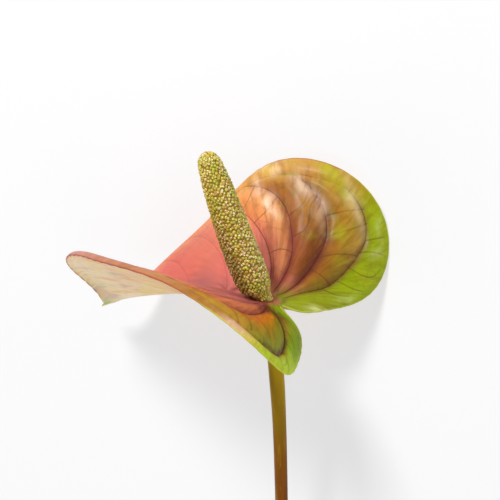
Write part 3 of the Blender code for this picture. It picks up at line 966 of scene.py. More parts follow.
@dataclass(frozen=True)
class WaxyUpperFace:
    """The spathe's upper face: lime lobes, ochre and maroon shoulders, a coral heart and sunken veins.

    The margins' ramps run over the turn about the stalk, in degrees from the point to the notch. The others
    run over the field among the main veins, from the lobe, below 0, to the last vein by the point. The
    throat, the middle and the outer part follow each other away from the stalk.
    """

    # fmt: off
    throat: Stops = (
        (-1.0, "8a7a18"), (-0.15, "84601c"), (0.0, "84402c"), (0.5, "b4624c"),
        (1.0, "7c3024"), (1.5, "c07460"), (2.0, "ac4c3c"), (2.5, "cc705e"),
        (3.0, "b45448"), (3.6, "cc6a62"), (4.5, "bc6664"), (7.0, "bc6664"),
    )
    middle: Stops = (
        (-1.0, "8a9a04"), (-0.3, "84900c"), (0.0, "74501a"), (0.35, "86621c"), (0.7, "965e20"),
        (0.95, "703826"), (1.3, "74401c"), (1.7, "96542a"), (2.0, "9c5040"), (2.4, "d88a58"),
        (2.7, "e28a66"), (3.0, "f08c78"), (3.6, "f08674"), (4.0, "d8746a"), (4.2, "d87464"),
        (4.7, "b4625c"), (5.2, "c06660"), (7.0, "cc6c60"),
    )
    outer: Stops = (
        (-1.0, "b49c3c"), (-0.25, "a89030"), (0.0, "8c742c"), (0.12, "b08c44"), (0.3, "9e7c2c"),
        (0.65, "a26c1c"), (0.85, "9a6424"), (1.0, "8a4e42"), (1.12, "a87c54"), (1.35, "a06c2c"),
        (1.6, "9c6220"), (2.0, "b07048"), (2.25, "e09c64"), (2.5, "e89c5c"), (2.8, "e29054"),
        (3.1, "e48a60"), (3.6, "e08068"), (4.2, "d8745e"), (5.0, "d8685a"), (7.0, "d06458"),
    )
    margin: Stops = (
        (0, "dc806a"), (35, "e48c5c"), (50, "e4a456"), (64, "d89c54"), (77, "cc9450"), (88, "bc9040"),
        (97, "a8981e"), (106, "929c08"), (130, "8e9c08"), (180, "8c9a28"),
    )
    # Round field 0, the near lobe's vein, near_throat and near turn dark: the vein's own colour with a
    # painted shadow of the spadix and painted shade in the crease between the lobes.
    near_throat: Stops = (
        (-1.0, "4c4c0a"), (-0.1, "44340a"), (0.15, "483c06"), (0.5, "5c3c10"), (1.0, "6c3020"),
        (2.0, "ac5a54"), (2.5, "bc665e"), (4.0, "b4625c"), (7.0, "a85c58"),
    )
    near: Stops = (
        (-1.0, "c08c34"), (-0.1, "a07a1c"), (0.0, "54460a"), (0.14, "868c0c"), (0.35, "8c7c08"),
        (0.62, "c4740c"), (0.8, "c86c22"), (1.0, "a05038"), (1.3, "d4784c"), (2.0, "b86458"),
        (2.5, "c87068"), (4.0, "b8665c"), (7.0, "c87468"),
    )
    # The pale peach stop at 99 is a painted highlight on the rolled near margin.
    near_margin: Stops = (
        (0, "b87c76"), (50, "c08472"), (80, "bc7c50"), (90, "ac742c"), (95, "bc8c48"), (99, "f0c4a0"),
        (105, "dcc054"), (113, "ccc028"), (122, "c4dc14"), (136, "84a404"), (180, "7c9404"),
    )
    # fmt: on
    lime: str = "7e9200"
    lime_margin: str = "98aa08"
    near_lime: str = "709600"
    near_tip: str = "bcd424"
    gold: str = "b4b420"
    straw: str = "e4c05c"
    olive: str = "80821a"
    ochre: str = "bc8828"
    # Mauve of the painted shade and sky reflection in the valley along the midrib.
    valley_shade: str = "a05e60"
    vein: str = "5c2028"
    streak: str = "6a3008"
    twig: str = "54340c"
    # The two colours below are painted highlights on the puffed ridges and the lobes, over paler patches of
    # the blade.
    pale: str = "ffe0c4"
    pale_green_highlight: str = "e0e4a0"
    knob: str = "b45c54"
    rim_red: str = "943c3c"
    # The pale edge of the lobes is partly a painted highlight along the rolled margin, partly the margin's
    # own paler colour.
    rim_pale: str = "c4ca50"
    cusp: str = "a8b868"

    def material(self) -> bpy.types.Material:
        """The material, with its colours placed on the flat blade.

        Returns:
            The finished material.
        """
        paint = BladePaint("spathe_upper", 7, 17)
        u, wide, rim, stalk, plain_turn = paint.u, paint.wide, paint.rim, paint.stalk, paint.turn
        patches, spots = paint.patches, paint.spots
        puff, place = paint.attribute("puff"), paint.attribute("field")
        near_side, uneven = paint.w.smooth(1.5, -1.5), spots - 0.5
        far_side = 1 - near_side
        streaks = paint.streaks(0.4, 0.07, 4, 0.6)
        vein_field = place + uneven * 0.35 + (streaks - 0.5) * 0.35
        lobe = (place + uneven * 0.2).smooth(0.0, -0.16) * (plain_turn - near_side * 7).smooth(94, 103)
        turn = plain_turn + (patches - 0.5) * 12 + uneven * 8
        deep = stalk + uneven * 10 + (streaks - 0.5) * 12
        mottled = turn.smooth(60, 84) * rim.smooth(2, 8) * deep.smooth(26, 38) * (1 - near_side * 0.6)
        far = paint.layers(
            paint.ramp(vein_field, self.throat),
            (deep.smooth(9, 20), paint.ramp(vein_field, self.middle)),
            (deep.smooth(30, 45), paint.ramp(vein_field, self.outer)),
            ((rim + uneven * 10).smooth(13, 3), paint.ramp(turn, self.margin)),
            (mottled * spots.smooth(0.46, 0.7) * 0.45, self.olive),
            (mottled * spots.smooth(0.52, 0.32) * 0.35, self.ochre),
        )
        # The near half, with the spadix's painted shadow along its lobe's vein.
        near = paint.layers(
            paint.ramp(vein_field, self.near_throat),
            (deep.smooth(10, 26), paint.ramp(vein_field, self.near)),
            (turn.smooth(109, 98) * vein_field.smooth(0.75, 0.4) * 0.85, self.ochre),
            ((rim + uneven * 5).smooth(6.5, 1.5), paint.ramp(turn, self.near_margin)),
        )
        lime = paint.layers(
            self.lime,
            (rim.smooth(12, 3), self.lime_margin),
            (near_side * rim.smooth(0.8, 2.5), self.near_lime),
            (near_side * deep.smooth(32, 48) * 0.85, self.near_tip),
            (deep.smooth(36, 16) * 0.6, self.olive),
            (patches.smooth(0.5, 0.7) * 0.3, self.gold),
        )
        calm = turn.smooth(66, 40)
        strong = 1 - calm * 0.85
        broken = streaks.smooth(0.3, 0.55) * 0.5 + spots.smooth(0.35, 0.6) * 0.5
        gold = paint.layers(self.gold, (turn.smooth(82, 68), self.straw))
        # The painted highlights' colour, greener on the lobes.
        light = paint.layers(self.pale, (lobe, self.pale_green_highlight))
        # The rim's colour: at the lobes a pale edge that is partly a painted highlight.
        edge = paint.layers(self.rim_pale, (turn.smooth(96, 84), self.rim_red))
        net, twigs, (veins, glow) = paint.net(), paint.twigs(), paint.main_veins()
        colour = paint.layers(
            far,
            (near_side, near),
            (lobe * (deep - near_side * 6).smooth(8, 20) * 0.94, lime),
            # Painted shade and a painted sky reflection in the valley along the midrib.
            (wide.smooth(13, 2) * u.smooth(10, 22) * u.smooth(76, 50) * 0.5, self.valley_shade),
            (streaks.smooth(0.56, 0.4) * (0.24 - calm * 0.16), self.streak),
            (net * strong * 0.16, self.twig),
            (twigs * strong * (spots * 0.7 + 0.15), self.twig),
            # Painted shade in the creases beside the main veins.
            (glow * turn.smooth(50, 80) * 0.22, self.vein),
            (veins * strong * (patches * 0.6 + 0.35), self.vein),
            (paint.margin_vein() * strong * 0.25 + paint.midrib() * 0.3, self.vein),
            (paint.attribute("gold") * broken, gold),
            # Painted highlights over paler patches of the blade.
            (paint.attribute("pale") * broken, light),
            # Painted highlights on the tops of the puffs.
            (puff.smooth(0.55, 0.95) * streaks.smooth(0.5, 0.7) * far_side * 0.2, light),
            (paint.attribute("dark") * 0.85, self.vein),
            (stalk.smooth(4.6, 3.2) * 0.7, self.knob),
            (rim.smooth(0.7, 0.2) * 0.6, edge),
            (u.smooth(80, 86), self.cusp),
        )
        pores = paint.noise(paint.flat, 420, 2)
        relief = patches * 1.4 + spots * 0.4 + paint.fine * 0.07 + pores * 0.015 + streaks * 0.2
        relief = relief - net * 0.05 - veins * 0.15 - twigs * 0.06
        return paint.finish(
            base_color=colour,
            roughness=0.44 + paint.fine * 0.12,
            normal=paint.bump(relief, 0.001, 0.75),
            specular_ior_level=0.06,
            coat_weight=0.14 - near_side * 0.12,
            coat_roughness=0.28,
            subsurface_weight=0.2,
            subsurface_radius=(1.0, 0.4, 0.08),
            subsurface_scale=0.0012,
        )


@dataclass(frozen=True)
class PaleUnderFace:
    """The under face: pale peach, greener at the lobes, with ochre and mauve patches and pale veins."""

    # fmt: off
    along: Stops = (
        (-26, "b0c040"), (-12, "bcb44c"), (0, "cca45c"), (14, "dcae74"), (40, "f8cc98"), (70, "ffe8c4"),
        (81, "ecdcaa"), (87, "b0bc64"),
    )
    # fmt: on
    vein: str = "fff2c0"
    mauve: str = "c6a89c"
    ochre: str = "f6b66a"
    yellow: str = "f6dc80"
    rim_red: str = "94443c"
    # The pale edge is partly a painted highlight along the rolled margin, partly the margin's own paler
    # colour.
    rim_pale: str = "bcc458"

    def material(self) -> bpy.types.Material:
        """The material, with its colours placed on the flat blade.

        Returns:
            The finished material.
        """
        paint = BladePaint("spathe_under", 6, 13)
        u, rim, patches, turn = paint.u, paint.rim, paint.patches, paint.turn
        streaks = paint.streaks(0.25, 0.05, 3)
        net, twigs, (veins, glow), midrib = paint.net(), paint.twigs(), paint.main_veins(), paint.midrib()
        colour = paint.layers(
            paint.ramp(u + (patches - 0.5) * 14, self.along),
            (streaks.smooth(0.5, 0.64) * 0.6, self.ochre),
            ((patches * 0.5 + streaks * 0.5).smooth(0.48, 0.38) * 0.5, self.mauve),
            (patches.smooth(0.53, 0.66) * 0.6, self.yellow),
            (net * 0.14 + twigs * 0.25, self.mauve),
            (veins * 0.6 + glow * 0.2 + paint.margin_vein() * 0.3 + midrib * 0.6, self.vein),
            (
                rim.smooth(0.6, 0.2) * 0.55 * u.smooth(84, 80),
                paint.layers(self.rim_pale, (turn.smooth(96, 84), self.rim_red)),
            ),
        )
        relief = paint.fine * 0.08 + paint.spots * 0.35 + twigs * 0.08 + veins * 0.25 + midrib * 0.4
        return paint.finish(
            base_color=colour,
            roughness=0.4 + paint.fine * 0.12,
            normal=paint.bump(relief, 0.001, 0.7),
            specular_ior_level=0.15,
            coat_weight=0.06,
            coat_roughness=0.3,
            subsurface_weight=0.25,
            subsurface_radius=(1.0, 0.55, 0.3),
            subsurface_scale=0.0016,
        )


@dataclass(frozen=True)
class FloretSkin:
    """The florets' olive gold tepals, with a painted glint on the pale stigma in each and brown gaps between
    them.

    The florets at the spike's foot carry a painted shadow on its left. The four numbers of off_axis are the
    shares of x, y and z and the start of the sum that says how far to the right of the spike's axis a place
    is.
    """

    gap: str = "8a721c"
    tepal: str = "d0be42"
    tepal_green: str = "a0ac1c"
    tepal_brown: str = "bc9048"
    # The colour of the painted glints on the stigmas and tepals, over the stigma's own pale colour.
    stigma: str = "fffbd0"
    speck: str = "7c441c"
    # The colour of the painted shadow at the spike's foot.
    foot: str = "74581a"
    off_axis: tuple[float, float, float, float] = (0.909, 0.385, -0.418, -60.2)

    def material(self) -> bpy.types.Material:
        """The material, driven by what each floret holds at its points.

        Returns:
            The finished material.
        """
        paint = Paint("spadix_florets")
        high, tone, stigma = paint.attribute("high"), paint.attribute("tone"), paint.attribute("stigma")
        place = paint.place()
        x, y, z = paint.split(place, 1 / MM)
        bands = paint.noise(paint.scaled(place, (1.0, 0.2, 1.0)), 260, 2)
        patches, grain = bands * 0.7 + paint.noise(place, 420, 2) * 0.3, paint.noise(place, 1500, 2)
        shade = tone + (patches - 0.5) * 0.9
        by_x, by_y, by_z, start = self.off_axis
        off = x * by_x + y * by_y + z * by_z + start + (patches - 0.5) * 4
        # A painted shadow on the left of the spike's foot, which also dims the glints there.
        foot_shadow = off.smooth(-0.5, -4.5) * y.smooth(188, 154)
        # Painted glints from the stigma attribute, gathered in lengthwise bands.
        lit = stigma.smooth(0.2, 0.65) * (bands.smooth(0.38, 0.58) * 0.7 + 0.3) * (1 - foot_shadow * 0.5)
        tepal = paint.layers(
            self.tepal,
            (shade.smooth(0.5, 0.85) * 0.85, self.tepal_brown),
            (shade.smooth(0.35, 0.05) * 0.8, self.tepal_green),
        )
        colour = paint.layers(
            self.gap,
            (high.smooth(0.0, 0.4), tepal),
            (grain.smooth(0.55, 0.66) * 0.65, self.speck),
            # The foot's painted shadow.
            (foot_shadow * 0.78, self.foot),
            (lit * 0.95, self.stigma),
        )
        return paint.finish(
            base_color=colour,
            roughness=0.5 - lit * 0.3,
            normal=paint.bump(grain, 0.00012, 0.6),
            specular_ior_level=0.3,
            coat_weight=0.15,
            coat_roughness=0.15,
            subsurface_weight=0.1,
            subsurface_radius=(0.8, 0.8, 0.3),
            subsurface_scale=0.001,
        )


@dataclass(frozen=True)
class StalkSkin:
    """The peduncle's skin, olive gold by the bloom and red-brown further down, and its pale fibrous cut."""

    # fmt: off
    along: Stops = (
        (-200, "623806"), (-40, "744604"), (74, "7c4604"), (92, "825204"), (104, "947404"), (118, "b09004"),
        (138, "a08e08"),
    )
    # fmt: on
    flush: str = "5c2408"
    streak: str = "a8861a"
    pith: str = "cfd0a0"
    fibre: str = "8f8f55"
    bark: str = "6a5a1e"

    def material(self) -> bpy.types.Material:
        """The material, streaked along the stalk, with the cut face told apart by what the mesh holds.

        Returns:
            The finished material.
        """
        paint = Paint("peduncle_skin")
        place = paint.place()
        _, y, _ = paint.split(place, 1 / MM)
        cut, core = paint.attribute("cut"), paint.attribute("core")
        streaks = paint.noise(paint.scaled(place, (1.0, 0.045, 1.0)), 900, 3)
        fine, strands = paint.noise(place, 900, 2), paint.cell_edge(place, 1500).smooth(0.16, 0.05)
        patches = paint.noise(paint.scaled(place, (1.0, 0.25, 1.0)), 120, 2)
        face = paint.layers(self.pith, (strands * 0.5, self.fibre), (core.smooth(0.8, 0.93), self.bark))
        colour = paint.layers(
            paint.ramp(y + (patches - 0.5) * 60, self.along),
            (patches.smooth(0.45, 0.72) * 0.55, self.flush),
            (streaks.smooth(0.52, 0.7) * 0.35, self.streak),
            (cut, face),
        )
        return paint.finish(
            base_color=colour,
            roughness=0.36 + fine * 0.12 + cut * 0.2,
            normal=paint.bump(streaks * 0.7 + fine * 0.2 + cut * strands, 0.00015, 0.6),
            specular_ior_level=0.1,
            coat_weight=0.03,
            coat_roughness=0.25,
            subsurface_weight=0.06,
            subsurface_radius=(0.8, 0.6, 0.2),
            subsurface_scale=0.001,
        )


def select_only(*objects: bpy.types.Object) -> None:
    """Selects these objects alone, with the first active, so that an operator acts on nothing else."""
    if bpy.context.mode != "OBJECT":
        bpy.ops.object.mode_set(mode="OBJECT")
    bpy.ops.object.select_all(action="DESELECT")
    for one in objects:
        one.select_set(True)
    if objects:
        bpy.context.view_layer.objects.active = objects[0]


def warped_grid(
    name: str, columns: int, rows: int, place: Callable[[Array, Array], Array]
) -> bpy.types.Object:
    """A grid primitive whose points are put where a function says.

    Args:
        name: The object's name.
        columns: Faces across.
        rows: Faces along.
        place: From shares across and along, 0 to 1, to points of the bloom's frame in millimetres.

    Returns:
        The object, at the origin, with its points in the row frame. It is active and selected.
    """
    select_only()
    bpy.ops.mesh.primitive_grid_add(x_subdivisions=columns, y_subdivisions=rows, size=1, location=(0, 0, 0))
    made = bpy.context.active_object
    made.name = made.data.name = name
    spots = np.array([v.co[:2] for v in made.data.vertices]) + 0.5
    made.data.vertices.foreach_set("co", LAY.place(place(spots[:, 0], spots[:, 1])).ravel())
    made.data.update()
    return made


def keep_number(made: bpy.types.Object, name: str, values: Array) -> None:
    """Stores a number at each point of a mesh, for its material to read."""
    numbers = made.data.attributes.new(name, "FLOAT", "POINT").data
    numbers.foreach_set("value", np.asarray(values, np.float32))


def close_seams(made: bpy.types.Object, within: float, outwards: bool = True) -> None:
    """Merges the doubled points of seams and poles.

    Args:
        made: The object, which is active and selected.
        within: How far apart they may be, in millimetres.
        outwards: Whether all faces are then turned outwards, as on a closed form.
    """
    bpy.ops.object.mode_set(mode="EDIT")
    bpy.ops.mesh.select_all(action="SELECT")
    bpy.ops.mesh.remove_doubles(threshold=within * MM)
    if outwards:
        bpy.ops.mesh.normals_make_consistent(inside=False)
    bpy.ops.object.mode_set(mode="OBJECT")
    LOG.debug("%s: seams closed", made.name)


def settle(made: bpy.types.Object, node: str) -> None:
    """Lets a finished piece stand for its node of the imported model.

    Args:
        made: The piece.
        node: The node, which has the name of its material slot.
    """
    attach(made, Body.ROOT.value)
    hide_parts(node)
    LOG.info("%s: %d faces", made.name, len(made.data.polygons))


@dataclass
class Spathe:
    """The heart-shaped blade, as one fine sheet that is bent and then given its thickness."""

    blade: Blade
    columns: int = 256
    rows: int = 180
    fan_power: float = 2.2
    crowding: float = 0.35
    rim_share: float = 0.45
    rim_taper: float = 1.6
    merge_within: float = 0.004
    # Patches of painted highlight on the puffed ridges and the lobes, over paler patches of the blade.
    highlight_touches: tuple[Touch, ...] = (
        Touch(19.5, 40.5, 5.5, 1.6, 66, 1.0),
        Touch(12, 51.5, 5, 3.0, 60, 0.6),
        Touch(6.6, 47.5, 7, 1.9, 68, 0.5),
        Touch(-2.5, 54, 9, 1.8, 55, 0.4),
        Touch(22, 57, 3.5, 2, 70, 0.6),
        Touch(28, 57, 3, 1.6, 80, 0.45),
        Touch(27, 48, 5, 2, 72, 0.6),
        Touch(-15, 46.5, 4, 1.3, 80, 0.35),
        Touch(-12, 54, 3, 1.2, 65, 0.25),
        Touch(-12, 9.5, 4, 1.4, 130, 0.7),
        Touch(-17, 22, 4, 1.6, 115, 0.3),
    )
    gold_touches: tuple[Touch, ...] = (
        Touch(6.5, 60, 6, 3.2, 60, 1.0),
        Touch(0, 56.5, 4, 2.4, 60, 0.7),
        Touch(24, 56, 6, 3.2, 150, 0.9),
        Touch(-3.5, 42, 5, 3, 75, 0.5),
        Touch(-8, 31, 4, 2, 95, 0.35),
        Touch(17, 54, 4, 2, 160, 0.4),
    )
    dark_touches: tuple[Touch, ...] = (
        Touch(19.3, 1.6, 2.0, 0.8, 8, 0.9),
        Touch(26, 2.5, 2.4, 0.7, 12, 0.4),
        Touch(0, 4, 2.5, 1.0, 110, 0.6),
    )

    def flat_points(self, across: Array, along: Array) -> Array:
        """Where the sheet's points lie on the flat blade.

        Args:
            across: Shares from the notch, 0, along the outline to the point, 1.
            along: Shares from the near margin, 0, over the midrib to the far margin, 1.

        Returns:
            The flat points.
        """
        side = 2 * along - 1
        reach = np.abs(side)
        reach = (1 - self.crowding) * reach + self.crowding * ease(reach, 0, 1)
        far, near = (self.blade.half_outline(half, across) for half in Half)
        outline = np.where((side < 0)[:, None], near, far)
        root = self.blade.notch + (self.blade.tip - self.blade.notch) * across**self.fan_power
        middle = np.stack([root, np.zeros_like(root)], -1)
        return middle + (outline - middle) * reach[:, None]

    def build(self) -> bpy.types.Object:
        """Makes the blade.

        Returns:
            The finished object.
        """
        held = {}

        def place(across: Array, along: Array) -> Array:
            """The bent sheet's points, with the flat ones kept."""
            held["flat"] = self.flat_points(across, along)
            return self.blade.bent(held["flat"])

        made = warped_grid("spathe_blade", self.columns, self.rows, place)
        self.keep_fields(made, held["flat"])
        self.face_upwards(made, held["flat"])
        close_seams(made, self.merge_within, outwards=False)
        self.thicken(made)
        settle(made, "spathe")
        return made

    def keep_fields(self, made: bpy.types.Object, flat: Array) -> None:
        """Stores the flat place and the distances that the materials and the thickness read.

        Args:
            made: The sheet.
            flat: The flat place of each of its points.
        """
        blade = self.blade
        edge, _ = nearest(flat, blade.rim)
        off_twigs = blade.off_twigs(flat)
        fields = {
            "rim": edge,
            "stalk": blade.from_stalk(flat),
            "fan": blade.off_main_veins(flat),
            "field": blade.field_at(flat),
            "hem": blade.off_margin_vein(flat),
            "twig": np.abs(off_twigs),
            "twig_side": off_twigs,
            # The shares of the painted highlights.
            "pale": touched(flat, self.highlight_touches),
            "gold": touched(flat, self.gold_touches),
            "dark": touched(flat, self.dark_touches),
            "puff": blade.puff(flat, edge) / blade.puff_height,
        }
        for name, values in fields.items():
            keep_number(made, name, values)
        made.data.uv_layers[0].name = "flat"
        corners = np.empty(len(made.data.loops), np.int32)
        made.data.loops.foreach_get("vertex_index", corners)
        places = (flat[corners] / FLAT_UNIT).astype(np.float32)
        made.data.uv_layers["flat"].data.foreach_set("uv", places.ravel())
        share = blade.thickness_at(flat) / blade.collar_thickness
        share = share * (self.rim_share + (1 - self.rim_share) * ease(edge, 0, self.rim_taper))
        group = made.vertex_groups.new(name="thickness")
        for i, weight in enumerate(share):
            group.add([i], float(weight), "REPLACE")

    def face_upwards(self, made: bpy.types.Object, flat: Array) -> None:
        """Turns the sheet's faces to its upper side.

        Args:
            made: The sheet.
            flat: The flat place of each of its points.
        """
        up = self.blade.normal(flat[:, 0], flat[:, 1]) @ np.array(LAY.matrix())[:3, :3].T
        if sum(np.dot(f.normal, up[f.vertices[0]]) for f in list(made.data.polygons)[::50]) < 0:
            made.data.flip_normals()

    def thicken(self, made: bpy.types.Object) -> None:
        """Gives the sheet its thickness to both sides, with the under face in its own material.

        Args:
            made: The sheet, which is active and selected.
        """
        for skin in (WaxyUpperFace(), PaleUnderFace()):
            made.data.materials.append(skin.material())
        shell = made.modifiers.new("thickness", "SOLIDIFY")
        shell.thickness = self.blade.collar_thickness * MM
        shell.offset = 0
        shell.vertex_group = "thickness"
        shell.material_offset = 1
        bpy.ops.object.modifier_apply(modifier=shell.name)
        bpy.ops.object.shade_smooth_by_angle(angle=SMOOTH_BELOW)


class Axis:
    """A bent line with its direction and two directions across it, read between stations."""

    def __init__(self, stations: Array, places: Array, hint: tuple[float, float, float]) -> None:
        """Works out the directions.

        Args:
            stations: Rising numbers along the line.
            places: The line's point at each.
            hint: Roughly the first direction across it.
        """
        self.stations, self.places = stations, places
        self.ahead = unit(np.gradient(places, axis=0))
        lean = np.array(hint, float)
        self.first = unit(lean - (self.ahead @ lean)[:, None] * self.ahead)
        self.second = np.cross(self.ahead, self.first)

    def at(self, t: Array, table: Array) -> Array:
        """One of the axis's tables, read between its stations."""
        return read_table(t, self.stations, table)

    def out(self, t: Array, angle: Array) -> Array:
        """The directions straight out from the line, at angles round it."""
        first, second = self.at(t, self.first), self.at(t, self.second)
        return np.cos(angle)[:, None] * first + np.sin(angle)[:, None] * second


@dataclass
class Spadix:
    """The spike: a core that grows from the blade, covered by florets in a spiral.

    A floret is made once, with a stigma in the middle and rings round it: the stigma's edge, a dip, the
    tepals and a sunken hem. Each copy follows the spike's surface.
    """

    blade: Blade
    foot_at: tuple[float, float] = (6.8, -1.0)
    line: Line = (
        (-6.0, 3.2, -1.3),
        (-9.2, 9.5, 1.6),
        (-13.5, 20.2, 5.2),
        (-19.9, 37.8, 10.2),
        (-24.6, 51.4, 13.3),
        (-26.0, 55.4, 14.1),
    )
    stations: tuple[float, ...] = (0, 2.5, 6, 12, 20, 30, 40, 48, 53, 55.3, 56.8)
    radii: tuple[float, ...] = (4.7, 5.5, 6.3, 6.7, 6.7, 6.35, 5.8, 5.2, 4.5, 3.6, 2.1)
    axis_steps: int = 200
    pole: float = 0.5
    foot: float = 6.0
    foot_gap: float = 0.55
    foot_sink: float = 0.9
    foot_points: int = 360
    core_faces: tuple[int, int] = (60, 110)
    core_cap: float = 0.02
    core_dome: float = 0.6
    pole_rows: float = 0.015
    sunk_rows: float = 0.025
    merge_within: float = 0.02
    floret_area: float = 1.4
    floret_overlap: float = 1.12
    floret_jitter: float = 0.55
    floret_lean: float = 0.22
    floret_turn: float = 0.5
    floret_scale: Span = (0.92, 1.08)
    floret_sink: float = 0.3
    floret_height: float = 0.65
    floret_sides: int = 8
    floret_radii: tuple[float, ...] = (0.26, 0.4, 0.74, 1.12)
    floret_tops: tuple[float, ...] = (0.9, 0.66, 0.72, -0.15)
    # The painted glints: each ring's share, how many florets get a full one and how dim the rest are, the
    # sparks on the tepals and how often they come, and the least height that shows any.
    floret_shine: tuple[float, ...] = (0.75, 0.1, 0, 0)
    bright_share: float = 0.38
    dim_glint: float = 0.45
    spark: float = 0.9
    spark_share: float = 0.15
    glint_above: float = 0.4
    first_floret: float = 0.4
    last_floret: float = 0.9
    lowest_floret: float = -0.45
    least_radius: float = 0.2
    spread_depth: float = 0.3
    spread_steps: int = 900
    seed: int = 11

    def __post_init__(self) -> None:
        """Works out the axis and the foot's ring."""
        curve, length = curve_through(self.line)
        self.end = self.stations[-1]
        s = np.linspace(0, self.end, self.axis_steps)
        self.axis = Axis(s, curve(s / length), (1, 0, 0))
        self.radius_at = spline(self.stations, self.radii)
        count = self.foot_points
        angles = np.linspace(0, FULL_TURN, count, endpoint=False)
        ring = self.blade.ring(self.foot_at, self.radii[0], angles, 1, self.foot_gap)
        circle = self.circle(angles, np.full(count, 1.0), np.full(count, self.radii[0]))
        turned = [np.roll(way, -k, axis=0) for way in (ring, ring[::-1]) for k in range(0, count, 3)]
        self.foot_ring = min(turned, key=lambda points: float(np.linalg.norm(points - circle, axis=1).sum()))

    def circle(self, angle: Array, s: Array, radius: Array) -> Array:
        """Points of the round section at s."""
        return self.axis.at(s, self.axis.places) + self.axis.out(s, angle) * radius[:, None]

    def rounding(self, s: Array, least: float = 0.0) -> Array:
        """The spike's radius at s, which closes to nothing past its last station.

        Args:
            s: Millimetres along the axis.
            least: The least radius before that end.

        Returns:
            The radii.
        """
        full = np.clip(self.radius_at(np.clip(s, 0, self.end)), least, None)
        past = np.clip(s - self.end, 0, None) / self.pole
        return full * np.sqrt(np.clip(1 - past, 0, 1))

    def surface(self, angle: Array, s: Array, lift: Array) -> Array:
        """Points of the spike's surface.

        Args:
            angle: Round the axis, in radians.
            s: Millimetres along the axis.
            lift: Millimetres above the florets' tops, below 0 for under them.

        Returns:
            The points in the bloom's frame.
        """
        ahead = self.axis.at(s, self.axis.ahead)
        radius = np.clip(self.rounding(s) + lift, 0, None)
        round_one = self.circle(angle, s, radius) + ahead * np.clip(s - self.end, 0, self.pole)[:, None]
        turns = np.mod(angle, FULL_TURN) / FULL_TURN * self.foot_points
        low = turns.astype(int) % self.foot_points
        share = (turns - np.floor(turns))[:, None]
        foot = self.foot_ring[low] * (1 - share) + self.foot_ring[(low + 1) % self.foot_points] * share
        outward = unit(self.axis.out(s, angle))
        foot = foot + ahead * s[:, None] + outward * lift[:, None]
        return foot + (round_one - foot) * ease(s, 0, self.foot)[:, None]

    def floret_template(self) -> tuple[Array, Array, list[tuple[int, ...]], Array]:
        """One floret: four tepals round a stigma, with a sunken hem.

        Returns:
            Its points at a size of 1, their heights, its faces, and the painted glint's share at each point.
        """
        sides = self.floret_sides
        spots, tops, lit = [(0.0, 0.0)], [1.0], [1.0]
        for radius, height, shine in zip(self.floret_radii, self.floret_tops, self.floret_shine):
            for k in range(sides):
                angle = FULL_TURN * k / sides
                square = 1 + 0.08 * math.cos(4 * angle) * (radius > 0.5)
                cleft = 0.12 * (k % 2) * (0.5 < radius < 0.9)
                spots.append((radius * square * math.cos(angle), radius * square * math.sin(angle)))
                tops.append(height - cleft)
                lit.append(shine)
        faces: list[tuple[int, ...]] = [(0, 1 + k, 1 + (k + 1) % sides) for k in range(sides)]
        for ring in range(len(self.floret_radii) - 1):
            start, end = 1 + ring * sides, 1 + (ring + 1) * sides
            for k in range(sides):
                after = (k + 1) % sides
                faces.append((start + k, end + k, end + after, start + after))
        return np.array(spots), np.array(tops), faces, np.array(lit)

    def floret_places(self) -> list[tuple[float, float]]:
        """Where the florets stand, a golden turn apart on equal shares of the surface.

        Returns:
            The angle and the station of each.
        """
        steps = self.spread_steps
        s = np.linspace(self.first_floret, self.end + self.pole * self.last_floret, steps)
        middle = self.surface(np.zeros(steps), s, np.full(steps, -self.spread_depth))
        step = np.linalg.norm(np.diff(middle, axis=0), axis=1)
        radius = self.rounding(s, self.least_radius)
        covered = np.append(0, np.cumsum(FULL_TURN * (radius[1:] + radius[:-1]) / 2 * step))
        count = int(covered[-1] / self.floret_area)
        golden = math.pi * (3 - math.sqrt(5))
        stations = np.interp((np.arange(count) + 0.5) * self.floret_area, covered, s)
        return [(i * golden, float(station)) for i, station in enumerate(stations)]

    def build(self) -> bpy.types.Object:
        """Makes the spike.

        Returns:
            The finished object.
        """
        made = warped_grid("spadix_spike", *self.core_faces, self.core_points)
        close_seams(made, self.merge_within)
        for name, value in (("high", 0.0), ("tone", 0.5), ("stigma", 0.0)):
            keep_number(made, name, np.full(len(made.data.vertices), value))
        select_only(made, self.make_florets())
        bpy.ops.object.join()
        bpy.ops.object.shade_smooth()
        made.data.materials.append(FloretSkin().material())
        settle(made, "spadix")
        return made

    def core_points(self, across: Array, along: Array) -> Array:
        """The closed core under the florets, from a pole in the blade to the pole at its end.

        Args:
            across: Shares round the axis.
            along: Shares along it.

        Returns:
            The points in the bloom's frame.
        """
        dome = self.end + self.pole * self.core_dome
        s = np.interp(along, (0, self.core_cap, 1 - self.core_cap, 1), (0, 0, dome, self.end))
        points = self.surface(across * FULL_TURN, s, np.full(len(s), -self.floret_height))
        at_pole, sunk = np.minimum(along, 1 - along) < self.pole_rows, along < self.sunk_rows
        ends = self.axis.at(s, self.axis.places) + self.axis.at(s, self.axis.ahead) * 0.1
        u, w = (np.full(sunk.sum(), place) for place in self.foot_at)
        points[sunk] -= self.blade.normal(u, w) * self.foot_sink
        points[at_pole] = ends[at_pole]
        return points

